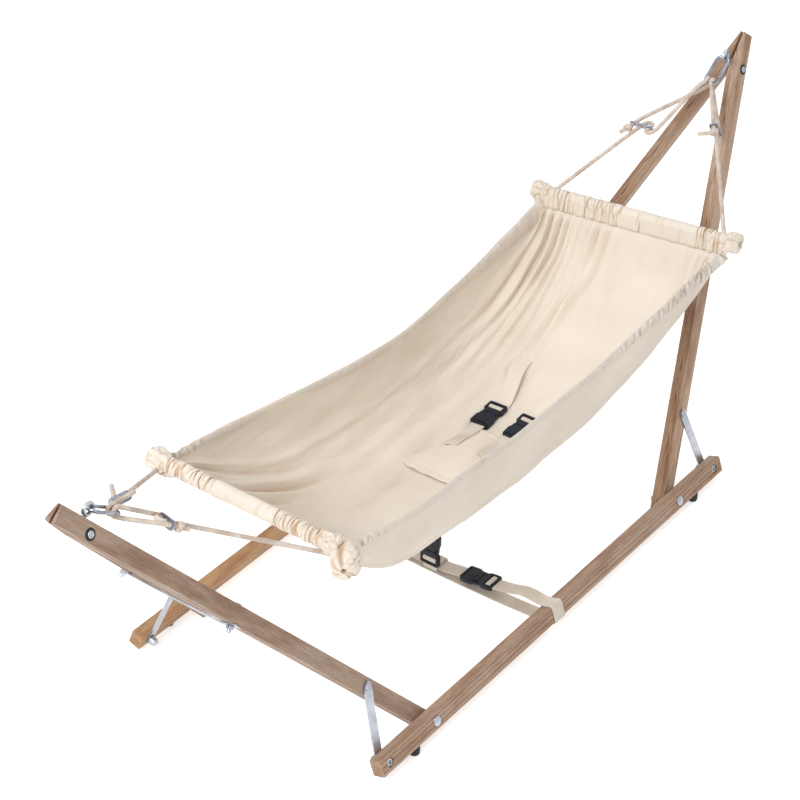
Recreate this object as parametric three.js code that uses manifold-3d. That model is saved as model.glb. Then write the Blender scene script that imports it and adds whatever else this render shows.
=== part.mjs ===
// Baby hammock with its wooden stand. Millimetres, +Z up, floor at z = 0.
// +Y runs from the foot end to the head end, +X points to the child's left hand rail.
import * as THREE from 'three';
import { mergeVertices } from 'three/addons/utils/BufferGeometryUtils.js';
import Module from 'manifold-3d';

const wasm = await Module();
wasm.setup();

// Ash bars of the stand
const BAR_T = 20.5;            // bar thickness, across the side frame
const BAR_B = 26;              // bar width, in the plane of the side frame
const BAR_EDGE = 1.2;          // eased edge
const RAIL_LENGTH = 900;
const RAIL_HALF_SPACING = 219; // rail centre line to the middle of the stand
const RAIL_HEIGHT = 24;        // rail centre line above the floor
const LEAN = THREE.MathUtils.degToRad(19.8);      // side frames lean inward
const LEG_ANGLE = THREE.MathUtils.degToRad(50.6); // leg against the rail
const PIVOT_AT = RAIL_LENGTH / 2 - 126;    // leg bolt from the middle of the rail
const LEG_TIP = 767;           // leg length beyond its bolt
const LEG_FOOT_CUT = -8.5;     // the leg stops just above the rail's lower face
const LEG_GAP = 3.1;           // brace and washer space between rail and leg
const APEX_GAP = 3.6;          // gap between the two mitred leg ends

// Steel fittings
const PLAY = 0.3;              // clearance between seated pieces
const BRACE_T = LEG_GAP - 2 * PLAY;
const BRACE_W = 15;
const BRACE_ON_RAIL = RAIL_LENGTH / 2 - 19; // brace bolt from the middle of the rail
const BRACE_ON_LEG = 138.6;    // brace screw from the leg bolt
const BOLT_R = 3;
const BOLT_HOLE_R = BOLT_R + PLAY;
const HEAD_R = 6.2;
const SINK_R = 7.2;            // sunk hole round a bolt head
const SINK_DEPTH = 7;
const STRAP_ON_LEG = 418;      // cross strap from the leg bolt
const STRAP_T = 1.6;
const STRAP_W = 16;
const FOOT_AT = RAIL_LENGTH / 2 - 78;
const FOOT_R = 8;

// Eyes and hooks that carry the hammock
const EYE_T = APEX_GAP - 2 * PLAY;
const EYE_REACH = { foot: 26, head: 36 };   // ring centre from the apex bolt
const EYE_TURN = { foot: 52, head: 41 };    // degrees that the ring leans toward the hammock
const RING_R = 8;
const RING_WIRE_R = 2.8;
const HOOK_WIRE_R = 2.6;
const HOOK_LENGTH = 52;        // between the wire centres of the two ends
const HOOK_HALF_W = 10.5;
const HOOK_DROP = { foot: 33, head: 35 }; // degrees below the horizontal

// Spreader bars and their cords
const ROD_R = 8;
const ROD_HALF = { foot: 158, head: 168 };
const CORD_R = 3.25;
const CORD_IN = { foot: 8, head: 12 };     // cord hole from the end of the bar
const FOOT_ROD = { x: -6, y: -RAIL_LENGTH / 2 - 7, z: 381, tilt: 0, yaw: 0 };
const HEAD_ROD = { x: 1, y: RAIL_LENGTH / 2 + 58, z: 375, tilt: 0.07, yaw: 0.055 };
const CORD_BELOW = 16;         // the foot cords leave their bar downward before they turn
const SLEEVE_GAP = 0.6;
const SLEEVE_T = 1.7;
const SLEEVE_PAST = { foot: [1, 4], head: [20, 14] };   // sleeve beyond the bar, left and right
const BUNCH_SWELL = { foot: 4.5, head: 3.6 };           // how much the gathered ends swell
const BUNCH_LENGTH = 26;
// Gathered cloth at the foot bar's right end
const HANGING_BUNCH = { out: 14, drop: 17, half: [20, 22, 27], mouth: [0.53, -0.84, -0.1] };
const PLATE = { length: 42, width: 14, thick: 2.5, pitch: 14 };

// Cloth bed: stations from the foot bar to the head bar
const CLOTH_T = 1.8;
const HEM_EXTRA = 1.6;
const SECTION_POWER = 2.6;
const RIM_X = [[0, 157], [0.07, 159], [0.16, 160], [0.31, 152], [0.46, 145], [0.57, 143], [0.68, 149],
  [0.8, 154], [0.92, 160], [1, 166]];
const RIM_Z = [[0.07, 366], [0.16, 353], [0.31, 335], [0.46, 319], [0.57, 317], [0.68, 325],
  [0.8, 341], [0.92, 360]];
const DEPTH = [[0, 0.5], [0.06, 58], [0.13, 105], [0.23, 140], [0.35, 154], [0.48, 158], [0.6, 160],
  [0.72, 152], [0.84, 122], [0.93, 66], [1, 0.5]];

// Belt and harness tape
const TAPE_W = 25;
const TAPE_T = 1.5;
const BELT_AT = -20;           // the belt crosses under the hammock here
const BUCKLE = { length: 58, width: 33, thick: 9 };
const BELT_BUCKLE = { x: 90, z: 20.15, tilt: THREE.MathUtils.degToRad(6.7) };

const ASH = { color: 0xb8937a, roughness: 0.6, metalness: 0 };
const STEEL = { color: 0xa8acb4, roughness: 0.35, metalness: 0.9 };
const CREAM = { color: 0xeee2cd, roughness: 0.92, metalness: 0 };
const CORD = { color: 0xe4cfc2, roughness: 0.9, metalness: 0 };
const BLACK = { color: 0x10151f, roughness: 0.5, metalness: 0 };
const RUBBER = { color: 0x161616, roughness: 0.85, metalness: 0 };
const DOWEL = { color: 0xd8b98c, roughness: 0.6, metalness: 0 };

const group = new THREE.Group();
group.name = 'baby_hammock_with_stand';
const X_AXIS = new THREE.Vector3(1, 0, 0);
const Y_AXIS = new THREE.Vector3(0, 1, 0);
const Z_AXIS = new THREE.Vector3(0, 0, 1);
const vec = (x, y, z) => new THREE.Vector3(x, y, z);

// Small tools
function solid(geometry) {
  const g = geometry.clone();
  g.deleteAttribute('normal');
  g.deleteAttribute('uv');
  const merged = mergeVertices(g, 1e-4);
  return new wasm.Manifold(new wasm.Mesh({
    numProp: 3,
    vertProperties: new Float32Array(merged.attributes.position.array),
    triVerts: new Uint32Array(merged.index.array),
  }));
}

function toGeometry(body) {
  const mesh = body.getMesh();
  const g = new THREE.BufferGeometry();
  g.setAttribute('position', new THREE.BufferAttribute(new Float32Array(mesh.vertProperties), 3));
  g.setIndex(new THREE.BufferAttribute(new Uint32Array(mesh.triVerts), 1));
  return g;
}

function flip(geometry) {
  const g = geometry.index ? geometry : mergeVertices(geometry);
  const index = g.index.array;
  for (let i = 0; i < index.length; i += 3) {
    [index[i + 1], index[i + 2]] = [index[i + 2], index[i + 1]];
  }
  return g;
}

// Right rear quarter to one of the four corners
function toCorner(geometry, sideX, sideY) {
  const g = geometry.clone().applyMatrix4(new THREE.Matrix4().makeScale(sideX, sideY, 1));
  return sideX * sideY < 0 ? flip(g) : g;
}

function add(name, geometry, look) {
  const flat = geometry.index ? geometry.toNonIndexed() : geometry;
  flat.computeVertexNormals();
  const mesh = new THREE.Mesh(flat, new THREE.MeshStandardMaterial(look));
  mesh.name = name;
  group.add(mesh);
  return mesh;
}

function basis(origin, x, y, z) {
  return new THREE.Matrix4().makeBasis(x, y, z).setPosition(origin);
}

// Round solid along a line from a list of [radius, distance] points
function turned(profile, origin, direction, segments = 10) {
  const points = profile.map(([r, d]) => new THREE.Vector2(r, d));
  const lathe = new THREE.LatheGeometry(points, segments);
  const turn = new THREE.Quaternion().setFromUnitVectors(Y_AXIS, direction.clone().normalize());
  return lathe.applyQuaternion(turn).translate(origin.x, origin.y, origin.z);
}

function rodBetween(a, b, radius, segments = 12) {
  const length = a.distanceTo(b);
  const profile = [[0, 0], [radius, 0], [radius, length], [0, length]];
  return turned(profile, a, b.clone().sub(a), segments);
}

function drill(body, a, b, radius, segments = 10) {
  return body.subtract(solid(rodBetween(a, b, radius, segments)));
}

// Round wire or cord through the listed points, with the same number of steps in each span
function tube(points, radius, perSpan = 2, sides = 8) {
  const curve = new THREE.CatmullRomCurve3(points, false, 'centripetal');
  const rings = (points.length - 1) * perSpan;
  const centres = [];
  for (let i = 0; i <= rings; i += 1) centres.push(curve.getPoint(i / rings));
  const tangent = (i) => centres[Math.min(i + 1, rings)].clone()
    .sub(centres[Math.max(i - 1, 0)]).normalize();
  const positions = [];
  const index = [];
  let direction = tangent(0);
  let across = (Math.abs(direction.x) < 0.8 ? X_AXIS : Y_AXIS).clone().cross(direction).normalize();
  for (let i = 0; i <= rings; i += 1) {
    const next = tangent(i);
    across.applyQuaternion(new THREE.Quaternion().setFromUnitVectors(direction, next)).normalize();
    direction = next;
    const other = direction.clone().cross(across);
    for (let j = 0; j < sides; j += 1) {
      const angle = (j / sides) * Math.PI * 2;
      positions.push(...centres[i].clone().addScaledVector(across, radius * Math.cos(angle))
        .addScaledVector(other, radius * Math.sin(angle)).toArray());
    }
  }
  positions.push(...centres[0].toArray(), ...centres[rings].toArray());
  const start = (rings + 1) * sides;
  for (let j = 0; j < sides; j += 1) {
    const k = (j + 1) % sides;
    for (let i = 0; i < rings; i += 1) {
      const [a, b] = [i * sides, (i + 1) * sides];
      index.push(a + j, a + k, b + j, a + k, b + k, b + j);
    }
    index.push(start, k, j, start + 1, rings * sides + j, rings * sides + k);
  }
  const g = new THREE.BufferGeometry();
  g.setAttribute('position', new THREE.Float32BufferAttribute(positions, 3));
  g.setIndex(index);
  return g;
}

// Smooth value between listed stations
function along(table, at) {
  const last = table.length - 1;
  if (at <= table[0][0]) return table[0][1];
  if (at >= table[last][0]) return table[last][1];
  let i = 0;
  while (table[i + 1][0] < at) i += 1;
  const slope = (k) => {
    if (k === 0) return (table[1][1] - table[0][1]) / (table[1][0] - table[0][0]);
    if (k === last) return (table[last][1] - table[last - 1][1]) / (table[last][0] - table[last - 1][0]);
    return (table[k + 1][1] - table[k - 1][1]) / (table[k + 1][0] - table[k - 1][0]);
  };
  const [x0, y0] = table[i];
  const [x1, y1] = table[i + 1];
  const h = x1 - x0;
  const t = (at - x0) / h;
  return (2 * t ** 3 - 3 * t ** 2 + 1) * y0 + (t ** 3 - 2 * t ** 2 + t) * h * slope(i)
    + (-2 * t ** 3 + 3 * t ** 2) * y1 + (t ** 3 - t ** 2) * h * slope(i + 1);
}

// Side frame: rail and legs lie in one leaning plane
const along_rail = Y_AXIS.clone();
const up_plane = vec(-Math.sin(LEAN), 0, Math.cos(LEAN));
const out_plane = vec(Math.cos(LEAN), 0, Math.sin(LEAN));
const RAIL_MIDDLE = vec(RAIL_HALF_SPACING, 0, RAIL_HEIGHT);

// Point of the right side frame: p along the rail, q up in the plane, r outward
function inFrame(p, q, r) {
  return RAIL_MIDDLE.clone().addScaledVector(along_rail, p)
    .addScaledVector(up_plane, q).addScaledVector(out_plane, r);
}

const leg_along = along_rail.clone().multiplyScalar(Math.cos(LEG_ANGLE))
  .addScaledVector(up_plane, Math.sin(LEG_ANGLE));
const leg_under = along_rail.clone().multiplyScalar(Math.sin(LEG_ANGLE))
  .addScaledVector(up_plane, -Math.cos(LEG_ANGLE));
const LEG_R = -(BAR_T + LEG_GAP);
const LEG_PIVOT = inFrame(PIVOT_AT, 0, LEG_R);

// Point of the right rear leg: k along it, w toward its lower face, r outward from its middle
function onLeg(k, w, r) {
  return LEG_PIVOT.clone().addScaledVector(leg_along, k)
    .addScaledVector(leg_under, w).addScaledVector(out_plane, r);
}

// Straight bar with eased edges, from a to b along its own x axis
function barSolid(a, b, matrix) {
  const y = BAR_B / 2;
  const z = BAR_T / 2;
  const e = BAR_EDGE;
  const corners = [[y, -z + e], [y, z - e], [y - e, z], [-y + e, z], [-y, z - e], [-y, -z + e],
    [-y + e, -z], [y - e, -z]];
  const section = new THREE.Shape(corners.map(([s, t]) => new THREE.Vector2(s, t)));
  const g = new THREE.ExtrudeGeometry(section, { depth: b - a, bevelEnabled: false });
  g.translate(0, 0, a);
  g.applyMatrix4(basis(vec(0, 0, 0), Y_AXIS, Z_AXIS, X_AXIS));
  return solid(g.applyMatrix4(matrix));
}

// The apex bolt runs across both legs through the eye
const apex_k = (LEG_PIVOT.x - (BAR_T / 2) * out_plane.x) / -leg_along.x;
const APEX = onLeg(apex_k - 4, 0, 0);
const APEX_SINK_X = 13.5;

function makeRail() {
  const place = basis(RAIL_MIDDLE, along_rail, up_plane, out_plane);
  let rail = barSolid(-RAIL_LENGTH / 2, RAIL_LENGTH / 2, place);
  for (const end of [-1, 1]) {
    const far = BAR_T;
    rail = drill(rail, inFrame(end * PIVOT_AT, 0, -far), inFrame(end * PIVOT_AT, 0, far), BOLT_HOLE_R);
    const brace = (depth) => inFrame(end * BRACE_ON_RAIL, 0, depth);
    rail = drill(rail, brace(-far), brace(far), BOLT_HOLE_R);
    const floor = BAR_T / 2 - SINK_DEPTH;
    rail = drill(rail, brace(floor), brace(far), SINK_R, 14);
    const foot = (height) => inFrame(end * FOOT_AT, height, 0);
    rail = drill(rail, foot(-BAR_B), foot(-BAR_B / 2 + 12), 2.5 + PLAY, 12);
  }
  return toGeometry(rail);
}

function makeLeg() {
  let leg = barSolid(-40, LEG_TIP, basis(LEG_PIVOT, leg_along, leg_under.clone().negate(), out_plane));
  const low = new THREE.BoxGeometry(8 * BAR_B, 4 * BAR_B, 6 * BAR_T);
  low.translate(0, LEG_FOOT_CUT - 2 * BAR_B, 0);
  low.applyMatrix4(basis(LEG_PIVOT, along_rail, up_plane, out_plane));
  leg = leg.subtract(solid(low));
  const inner = new THREE.BoxGeometry(8 * BAR_B, 3 * RAIL_LENGTH, 3 * RAIL_LENGTH);
  inner.translate(APEX_GAP / 2 - 4 * BAR_B, 0, 0);
  leg = leg.subtract(solid(inner));
  leg = drill(leg, inFrame(PIVOT_AT, 0, LEG_R - BAR_T), inFrame(PIVOT_AT, 0, 0), BOLT_HOLE_R);
  leg = drill(leg, onLeg(BRACE_ON_LEG, 0, BAR_T / 2 - 15), onLeg(BRACE_ON_LEG, 0, BAR_T), 2.5 + PLAY, 12);
  leg = drill(leg, onLeg(STRAP_ON_LEG, -BAR_B, 0), onLeg(STRAP_ON_LEG, BAR_B, 0), BOLT_HOLE_R);
  leg = drill(leg, vec(-5, APEX.y, APEX.z), vec(60, APEX.y, APEX.z), BOLT_HOLE_R);
  leg = drill(leg, vec(APEX_SINK_X, APEX.y, APEX.z), vec(60, APEX.y, APEX.z), SINK_R, 14);
  return toGeometry(leg);
}

function makeBrace() {
  const a = new THREE.Vector2(BRACE_ON_RAIL, 0);
  const run = BRACE_ON_LEG * Math.cos(LEG_ANGLE);
  const b = new THREE.Vector2(PIVOT_AT + run, BRACE_ON_LEG * Math.sin(LEG_ANGLE));
  const length = a.distanceTo(b);
  const shape = new THREE.Shape();
  const r = BRACE_W / 2;
  shape.moveTo(0, -r);
  shape.lineTo(length, -r);
  shape.absarc(length, 0, r, -Math.PI / 2, Math.PI / 2, false);
  shape.lineTo(0, r);
  shape.absarc(0, 0, r, Math.PI / 2, Math.PI * 1.5, false);
  for (const at of [0, length]) {
    const hole = new THREE.Path();
    hole.absarc(at, 0, BOLT_HOLE_R, 0, Math.PI * 2, true);
    shape.holes.push(hole);
  }
  const g = new THREE.ExtrudeGeometry(shape, { depth: BRACE_T, bevelEnabled: false, curveSegments: 6 });
  g.rotateZ(Math.atan2(b.y - a.y, b.x - a.x));
  g.translate(a.x, a.y, -BAR_T / 2 - PLAY - BRACE_T);
  return g.applyMatrix4(basis(RAIL_MIDDLE, along_rail, up_plane, out_plane));
}

// Bolt through rail and leg: domed head outside, washer between, domed nut inside
function makePivotBolt() {
  const out = BAR_T / 2;
  const w0 = -out - PLAY;
  const w1 = -out - LEG_GAP + PLAY;
  const inside = LEG_R - out;
  const profile = [[0, inside - 10], [3.6, inside - 8.8], [5, inside - 6],
    [5, inside - 2.2], [7.5, inside - 2.2],
    [7.5, inside - PLAY], [BOLT_R, inside - PLAY], [BOLT_R, w1], [8, w1], [8, w0], [BOLT_R, w0],
    [BOLT_R, out + PLAY], [7.6, out + PLAY], [7.2, out + 2], [4, out + 3.6], [0, out + 4]];
  return turned(profile, inFrame(PIVOT_AT, 0, 0), out_plane, 10);
}

// Bolt through the brace: head sunk in the rail, domed nut on the inside
function makeBraceBolt() {
  const floor = BAR_T / 2 - SINK_DEPTH;
  const inside = -BAR_T / 2 - 2 * PLAY - BRACE_T;
  const profile = [[0, inside - 12], [4, inside - 10.8], [6.4, inside - 7.5],
    [6.4, inside - 1.8], [7.6, inside - 1.8],
    [7.6, inside], [BOLT_R, inside], [BOLT_R, floor + PLAY], [HEAD_R, floor + PLAY], [HEAD_R, floor + 4],
    [HEAD_R - 1, floor + 5], [2.4, floor + 5], [2.4, floor + 3], [0, floor + 3]];
  return turned(profile, inFrame(BRACE_ON_RAIL, 0, 0), out_plane);
}

function makeBraceScrew() {
  const profile = [[0, -13], [2.5, -12], [2.5, PLAY], [6, PLAY], [5.6, 2], [2, 3], [2, 2], [0, 2]];
  return turned(profile, onLeg(BRACE_ON_LEG, 0, BAR_T / 2 + PLAY + BRACE_T), out_plane, 8);
}

function makeFoot() {
  const foot = new THREE.LatheGeometry([[0, 0], [FOOT_R - 2, 0], [FOOT_R - 0.6, 0.8], [FOOT_R, 2.4],
    [FOOT_R, 40], [0, 40]]
    .map(([r, d]) => new THREE.Vector2(r, d)), 14);
  const under = inFrame(FOOT_AT, -BAR_B / 2, 0);
  foot.rotateX(Math.PI / 2).translate(under.x + 2, under.y, 0);
  const above = new THREE.BoxGeometry(6 * BAR_T, 8 * BAR_B, 6 * BAR_T);
  above.translate(0, -BAR_B / 2 - PLAY + 4 * BAR_B, 0);
  above.applyMatrix4(basis(inFrame(FOOT_AT, 0, 0), along_rail, up_plane, out_plane));
  const pin = rodBetween(inFrame(FOOT_AT, -BAR_B / 2 - 3, 0), inFrame(FOOT_AT, -BAR_B / 2 + 10, 0), 2.5, 12);
  return toGeometry(solid(foot).subtract(solid(above)).add(solid(pin)));
}

// Steel strip across the lower faces of both legs, its ends bent flush with them
function makeCrossStrap() {
  const across = vec(0, leg_under.y, leg_under.z).normalize();
  const wide = X_AXIS.clone().cross(across).normalize();
  const seat = onLeg(STRAP_ON_LEG, BAR_B / 2 + PLAY, 0);
  const tab = vec(across.dot(leg_under), 0, 0);
  tab.z = -leg_under.x;
  const point = (s, t) => {
    const x = seat.x + tab.x * s + leg_under.x * t;
    const n = seat.dot(across) + tab.z * s + across.dot(leg_under) * t;
    return [x, n];
  };
  const outer = [point(BAR_T / 2 + 1, 0), point(-BAR_T / 2 - 2, 0)];
  const lower = [point(BAR_T / 2 + 1, STRAP_T), point(-BAR_T / 2 - 2.2, STRAP_T)];
  const mirror = (list) => list.map(([x, n]) => [-x, n]);
  const loop = [...outer, ...mirror(outer).reverse(), ...mirror(lower), ...[...lower].reverse()];
  const shape = new THREE.Shape(loop.map(([x, n]) => new THREE.Vector2(x, n)));
  const g = new THREE.ExtrudeGeometry(shape, { depth: STRAP_W, bevelEnabled: false });
  const origin = wide.clone().multiplyScalar(seat.dot(wide) - STRAP_W / 2);
  let strap = solid(g.applyMatrix4(basis(origin, X_AXIS, across, wide)));
  for (const side of [-1, 1]) {
    const a = onLeg(STRAP_ON_LEG, BAR_B / 2 - 5, 0);
    const b = onLeg(STRAP_ON_LEG, BAR_B / 2 + 12, 0);
    strap = drill(strap, vec(side * a.x, a.y, a.z), vec(side * b.x, b.y, b.z), BOLT_HOLE_R, 10);
  }
  return toGeometry(strap);
}

function makeStrapBolt() {
  const top = -BAR_B / 2 - PLAY;
  const low = BAR_B / 2 + 2 * PLAY + STRAP_T;
  const profile = [[0, top - 3], [4, top - 2.6], [6, top - 1], [6, top], [BOLT_R, top],
    [BOLT_R, low], [5.2, low],
    [5.2, low + 4.5], [BOLT_R, low + 4.5], [BOLT_R, low + 9], [0, low + 9.6]];
  return turned(profile, onLeg(STRAP_ON_LEG, 0, 0), leg_under);
}

function makeApexBolt() {
  const seat = APEX_SINK_X + PLAY;
  const half = [[BOLT_R, seat], [HEAD_R, seat], [HEAD_R, seat + 4], [HEAD_R - 1, seat + 5], [2.4, seat + 5],
    [2.4, seat + 3], [0, seat + 3]];
  const profile = [...half.map(([r, d]) => [r, -d]).reverse(), ...half];
  return turned(profile, vec(0, APEX.y, APEX.z), X_AXIS);
}

// Eye and hook at each apex
function eyeOut(endName) {
  const turn = THREE.MathUtils.degToRad(EYE_TURN[endName]);
  return vec(0, -Math.sin(turn), Math.cos(turn));
}

// Made for the head end; the foot end's is mirrored afterward
function makeEye(endName) {
  const eye_out = eyeOut(endName);
  const reach = EYE_REACH[endName];
  const shape = new THREE.Shape();
  shape.moveTo(-5.5, 0);
  shape.absarc(0, 0, 6.5, Math.PI, Math.PI * 2, false);
  shape.lineTo(5, reach - RING_R);
  shape.lineTo(-5, reach - RING_R);
  const hole = new THREE.Path();
  hole.absarc(0, 0, BOLT_HOLE_R, 0, Math.PI * 2, true);
  shape.holes.push(hole);
  const tang = new THREE.ExtrudeGeometry(shape, { depth: EYE_T, bevelEnabled: false, curveSegments: 8 });
  tang.translate(0, 0, -EYE_T / 2);
  const ring = new THREE.TorusGeometry(RING_R, RING_WIRE_R, 8, 16);
  ring.translate(0, reach, 0);
  const side = eye_out.clone().cross(X_AXIS).normalize();
  const place = basis(vec(0, APEX.y, APEX.z), side, eye_out, X_AXIS.clone());
  return toGeometry(solid(tang.applyMatrix4(place)).add(solid(ring.applyMatrix4(place))));
}

// Plane of a hook: pull runs from the ring to the cords, x across
function hookFrame(endName) {
  const sign = endName === 'head' ? 1 : -1;
  const drop = THREE.MathUtils.degToRad(HOOK_DROP[endName]);
  const pull = vec(0, -sign * Math.cos(drop), -Math.sin(drop));
  const ring = vec(0, APEX.y, APEX.z).addScaledVector(eyeOut(endName), EYE_REACH[endName]);
  const seat = RING_R - RING_WIRE_R - HOOK_WIRE_R - PLAY;
  const origin = vec(0, sign * ring.y, ring.z).addScaledVector(pull, seat);
  return { sign, pull, origin, lift: vec(0, -sign * Math.sin(drop), Math.cos(drop)) };
}

const GATE_FROM = 14;
const GATE_TO = 41;

function makeHookBody(endName) {
  const { pull, origin } = hookFrame(endName);
  const at = (s, x) => origin.clone().addScaledVector(pull, s).addScaledVector(X_AXIS, x);
  const w = HOOK_HALF_W;
  const list = [at(GATE_FROM - 1, w), at(9, w * 0.98), at(4.2, w * 0.82), at(1.1, w * 0.45),
    at(0, 0), at(1.1, -w * 0.45),
    at(4.2, -w * 0.82), at(9, -w * 0.98), at(20, -w), at(34, -w),
      at(HOOK_LENGTH - 7, -w), at(HOOK_LENGTH - 2, -w * 0.82),
    at(HOOK_LENGTH, -w * 0.45), at(HOOK_LENGTH, 0), at(HOOK_LENGTH, w * 0.45), at(HOOK_LENGTH - 2, w * 0.82),
    at(HOOK_LENGTH - 7, w), at(GATE_TO + 0.5, w)];
  return tube(list, HOOK_WIRE_R);
}

function makeHookGate(endName) {
  const { pull, origin } = hookFrame(endName);
  const a = origin.clone().addScaledVector(pull, GATE_FROM - 1 + PLAY).addScaledVector(X_AXIS, HOOK_HALF_W);
  const b = origin.clone().addScaledVector(pull, GATE_TO + 0.5 - PLAY).addScaledVector(X_AXIS, HOOK_HALF_W);
  const r = HOOK_WIRE_R * 0.92;
  const length = a.distanceTo(b);
  const profile = [[0, 0], [0.5, 0], [r, 1.4], [r, length - 1.4], [0.5, length], [0, length]];
  return turned(profile, a, b.sub(a), 10);
}

// Spreader bars
function rodFrame(endName) {
  const rod = endName === 'head' ? HEAD_ROD : FOOT_ROD;
  const flat = Math.cos(rod.tilt);
  const axis = vec(flat * Math.cos(rod.yaw), flat * Math.sin(rod.yaw), Math.sin(rod.tilt));
  return { centre: vec(rod.x, rod.y, rod.z), axis };
}

function cordHole(endName, side) {
  const { centre, axis } = rodFrame(endName);
  return centre.clone().addScaledVector(axis, side * (ROD_HALF[endName] - CORD_IN[endName]));
}

// Where the straight run of a cord begins
function cordStart(endName, side) {
  const hole = cordHole(endName, side);
  return endName === 'foot' ? hole.addScaledVector(Z_AXIS, -CORD_BELOW) : hole;
}

function cordTarget(endName, side) {
  const { pull, origin } = hookFrame(endName);
  return origin.clone().addScaledVector(pull, HOOK_LENGTH).addScaledVector(X_AXIS, side * 4.4);
}

function cordLine(endName, side) {
  return cordTarget(endName, side).sub(cordStart(endName, side)).normalize();
}

// Ends of the blind hole that a cord comes out of
function cordBore(endName, side) {
  const hole = cordHole(endName, side);
  const out = endName === 'foot' ? Z_AXIS.clone().negate() : cordLine(endName, side);
  return [hole.clone().addScaledVector(out, -3), hole.clone().addScaledVector(out, 24)];
}

function makeRod(endName) {
  const { centre, axis } = rodFrame(endName);
  const half = ROD_HALF[endName];
  const a = centre.clone().addScaledVector(axis, -half);
  const profile = [[0, 0], [ROD_R - 1.5, 0], [ROD_R, 1.5], [ROD_R, 2 * half - 1.5],
    [ROD_R - 1.5, 2 * half], [0, 2 * half]];
  let rod = solid(turned(profile, a, axis, 12));
  for (const side of [-1, 1]) {
    rod = drill(rod, ...cordBore(endName, side), CORD_R + 0.6, 12);
  }
  return toGeometry(rod);
}

// Cords with their adjusters
// share: adjuster position along the cord; turn and slant: how the plate lies;
// wrap: its end that the cord goes round; rise: how far it sits above the straight line;
// tail: where the knotted end points, across the cord
const CORDS = {
  foot_left: {
    end: 'foot', side: -1, share: 0.83, turn: 139, slant: 0.62, wrap: 1, rise: 4, tail: [-18.7, -11.6],
  },
  foot_right: { end: 'foot', side: 1, share: 0.78, turn: 90, slant: 0, wrap: -1 },
  head_left: { end: 'head', side: -1, share: 0.58, turn: 90, slant: 0.62, wrap: 1, rise: 6 },
  head_right: { end: 'head', side: 1, share: 0.7, turn: 180, slant: 0, wrap: 1 },
};

function plateFrame({ end, side, share, turn, slant, rise = 0 }) {
  const start = cordStart(end, side);
  const target = cordTarget(end, side);
  const line = cordLine(end, side);
  const centre = start.clone().lerp(target, share).addScaledVector(Z_AXIS, rise);
  const m = X_AXIS.clone().cross(line).normalize();
  const e2 = line.clone().cross(m);
  const angle = THREE.MathUtils.degToRad(turn);
  const flat = m.clone().multiplyScalar(Math.cos(angle)).addScaledVector(e2, Math.sin(angle)).normalize();
  const long = flat.clone().addScaledVector(line, slant).normalize();
  const wide = line.clone().cross(flat).normalize();
  const face = long.clone().cross(wide).normalize();
  return { start, target, line, centre, m, e2, flat, long, wide, face };
}

function makePlate(spec) {
  const frame = plateFrame(spec);
  const shape = new THREE.Shape();
  const r = PLATE.width / 2;
  const half = PLATE.length / 2 - r;
  shape.moveTo(-half, -r);
  shape.lineTo(half, -r);
  shape.absarc(half, 0, r, -Math.PI / 2, Math.PI / 2, false);
  shape.lineTo(-half, r);
  shape.absarc(-half, 0, r, Math.PI / 2, Math.PI * 1.5, false);
  const g = new THREE.ExtrudeGeometry(shape, { depth: PLATE.thick, bevelEnabled: false, curveSegments: 4 });
  g.translate(0, 0, -PLATE.thick / 2);
  let plate = solid(g.applyMatrix4(basis(frame.centre, frame.long, frame.wide, frame.face)));
  for (const pitch of [-PLATE.pitch, 0, PLATE.pitch]) {
    const at = frame.centre.clone().addScaledVector(frame.long, pitch);
    const a = at.clone().addScaledVector(frame.line, -12);
    const b = at.clone().addScaledVector(frame.line, 12);
    plate = drill(plate, a, b, CORD_R + 0.85, 8);
  }
  return toGeometry(plate);
}

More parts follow.
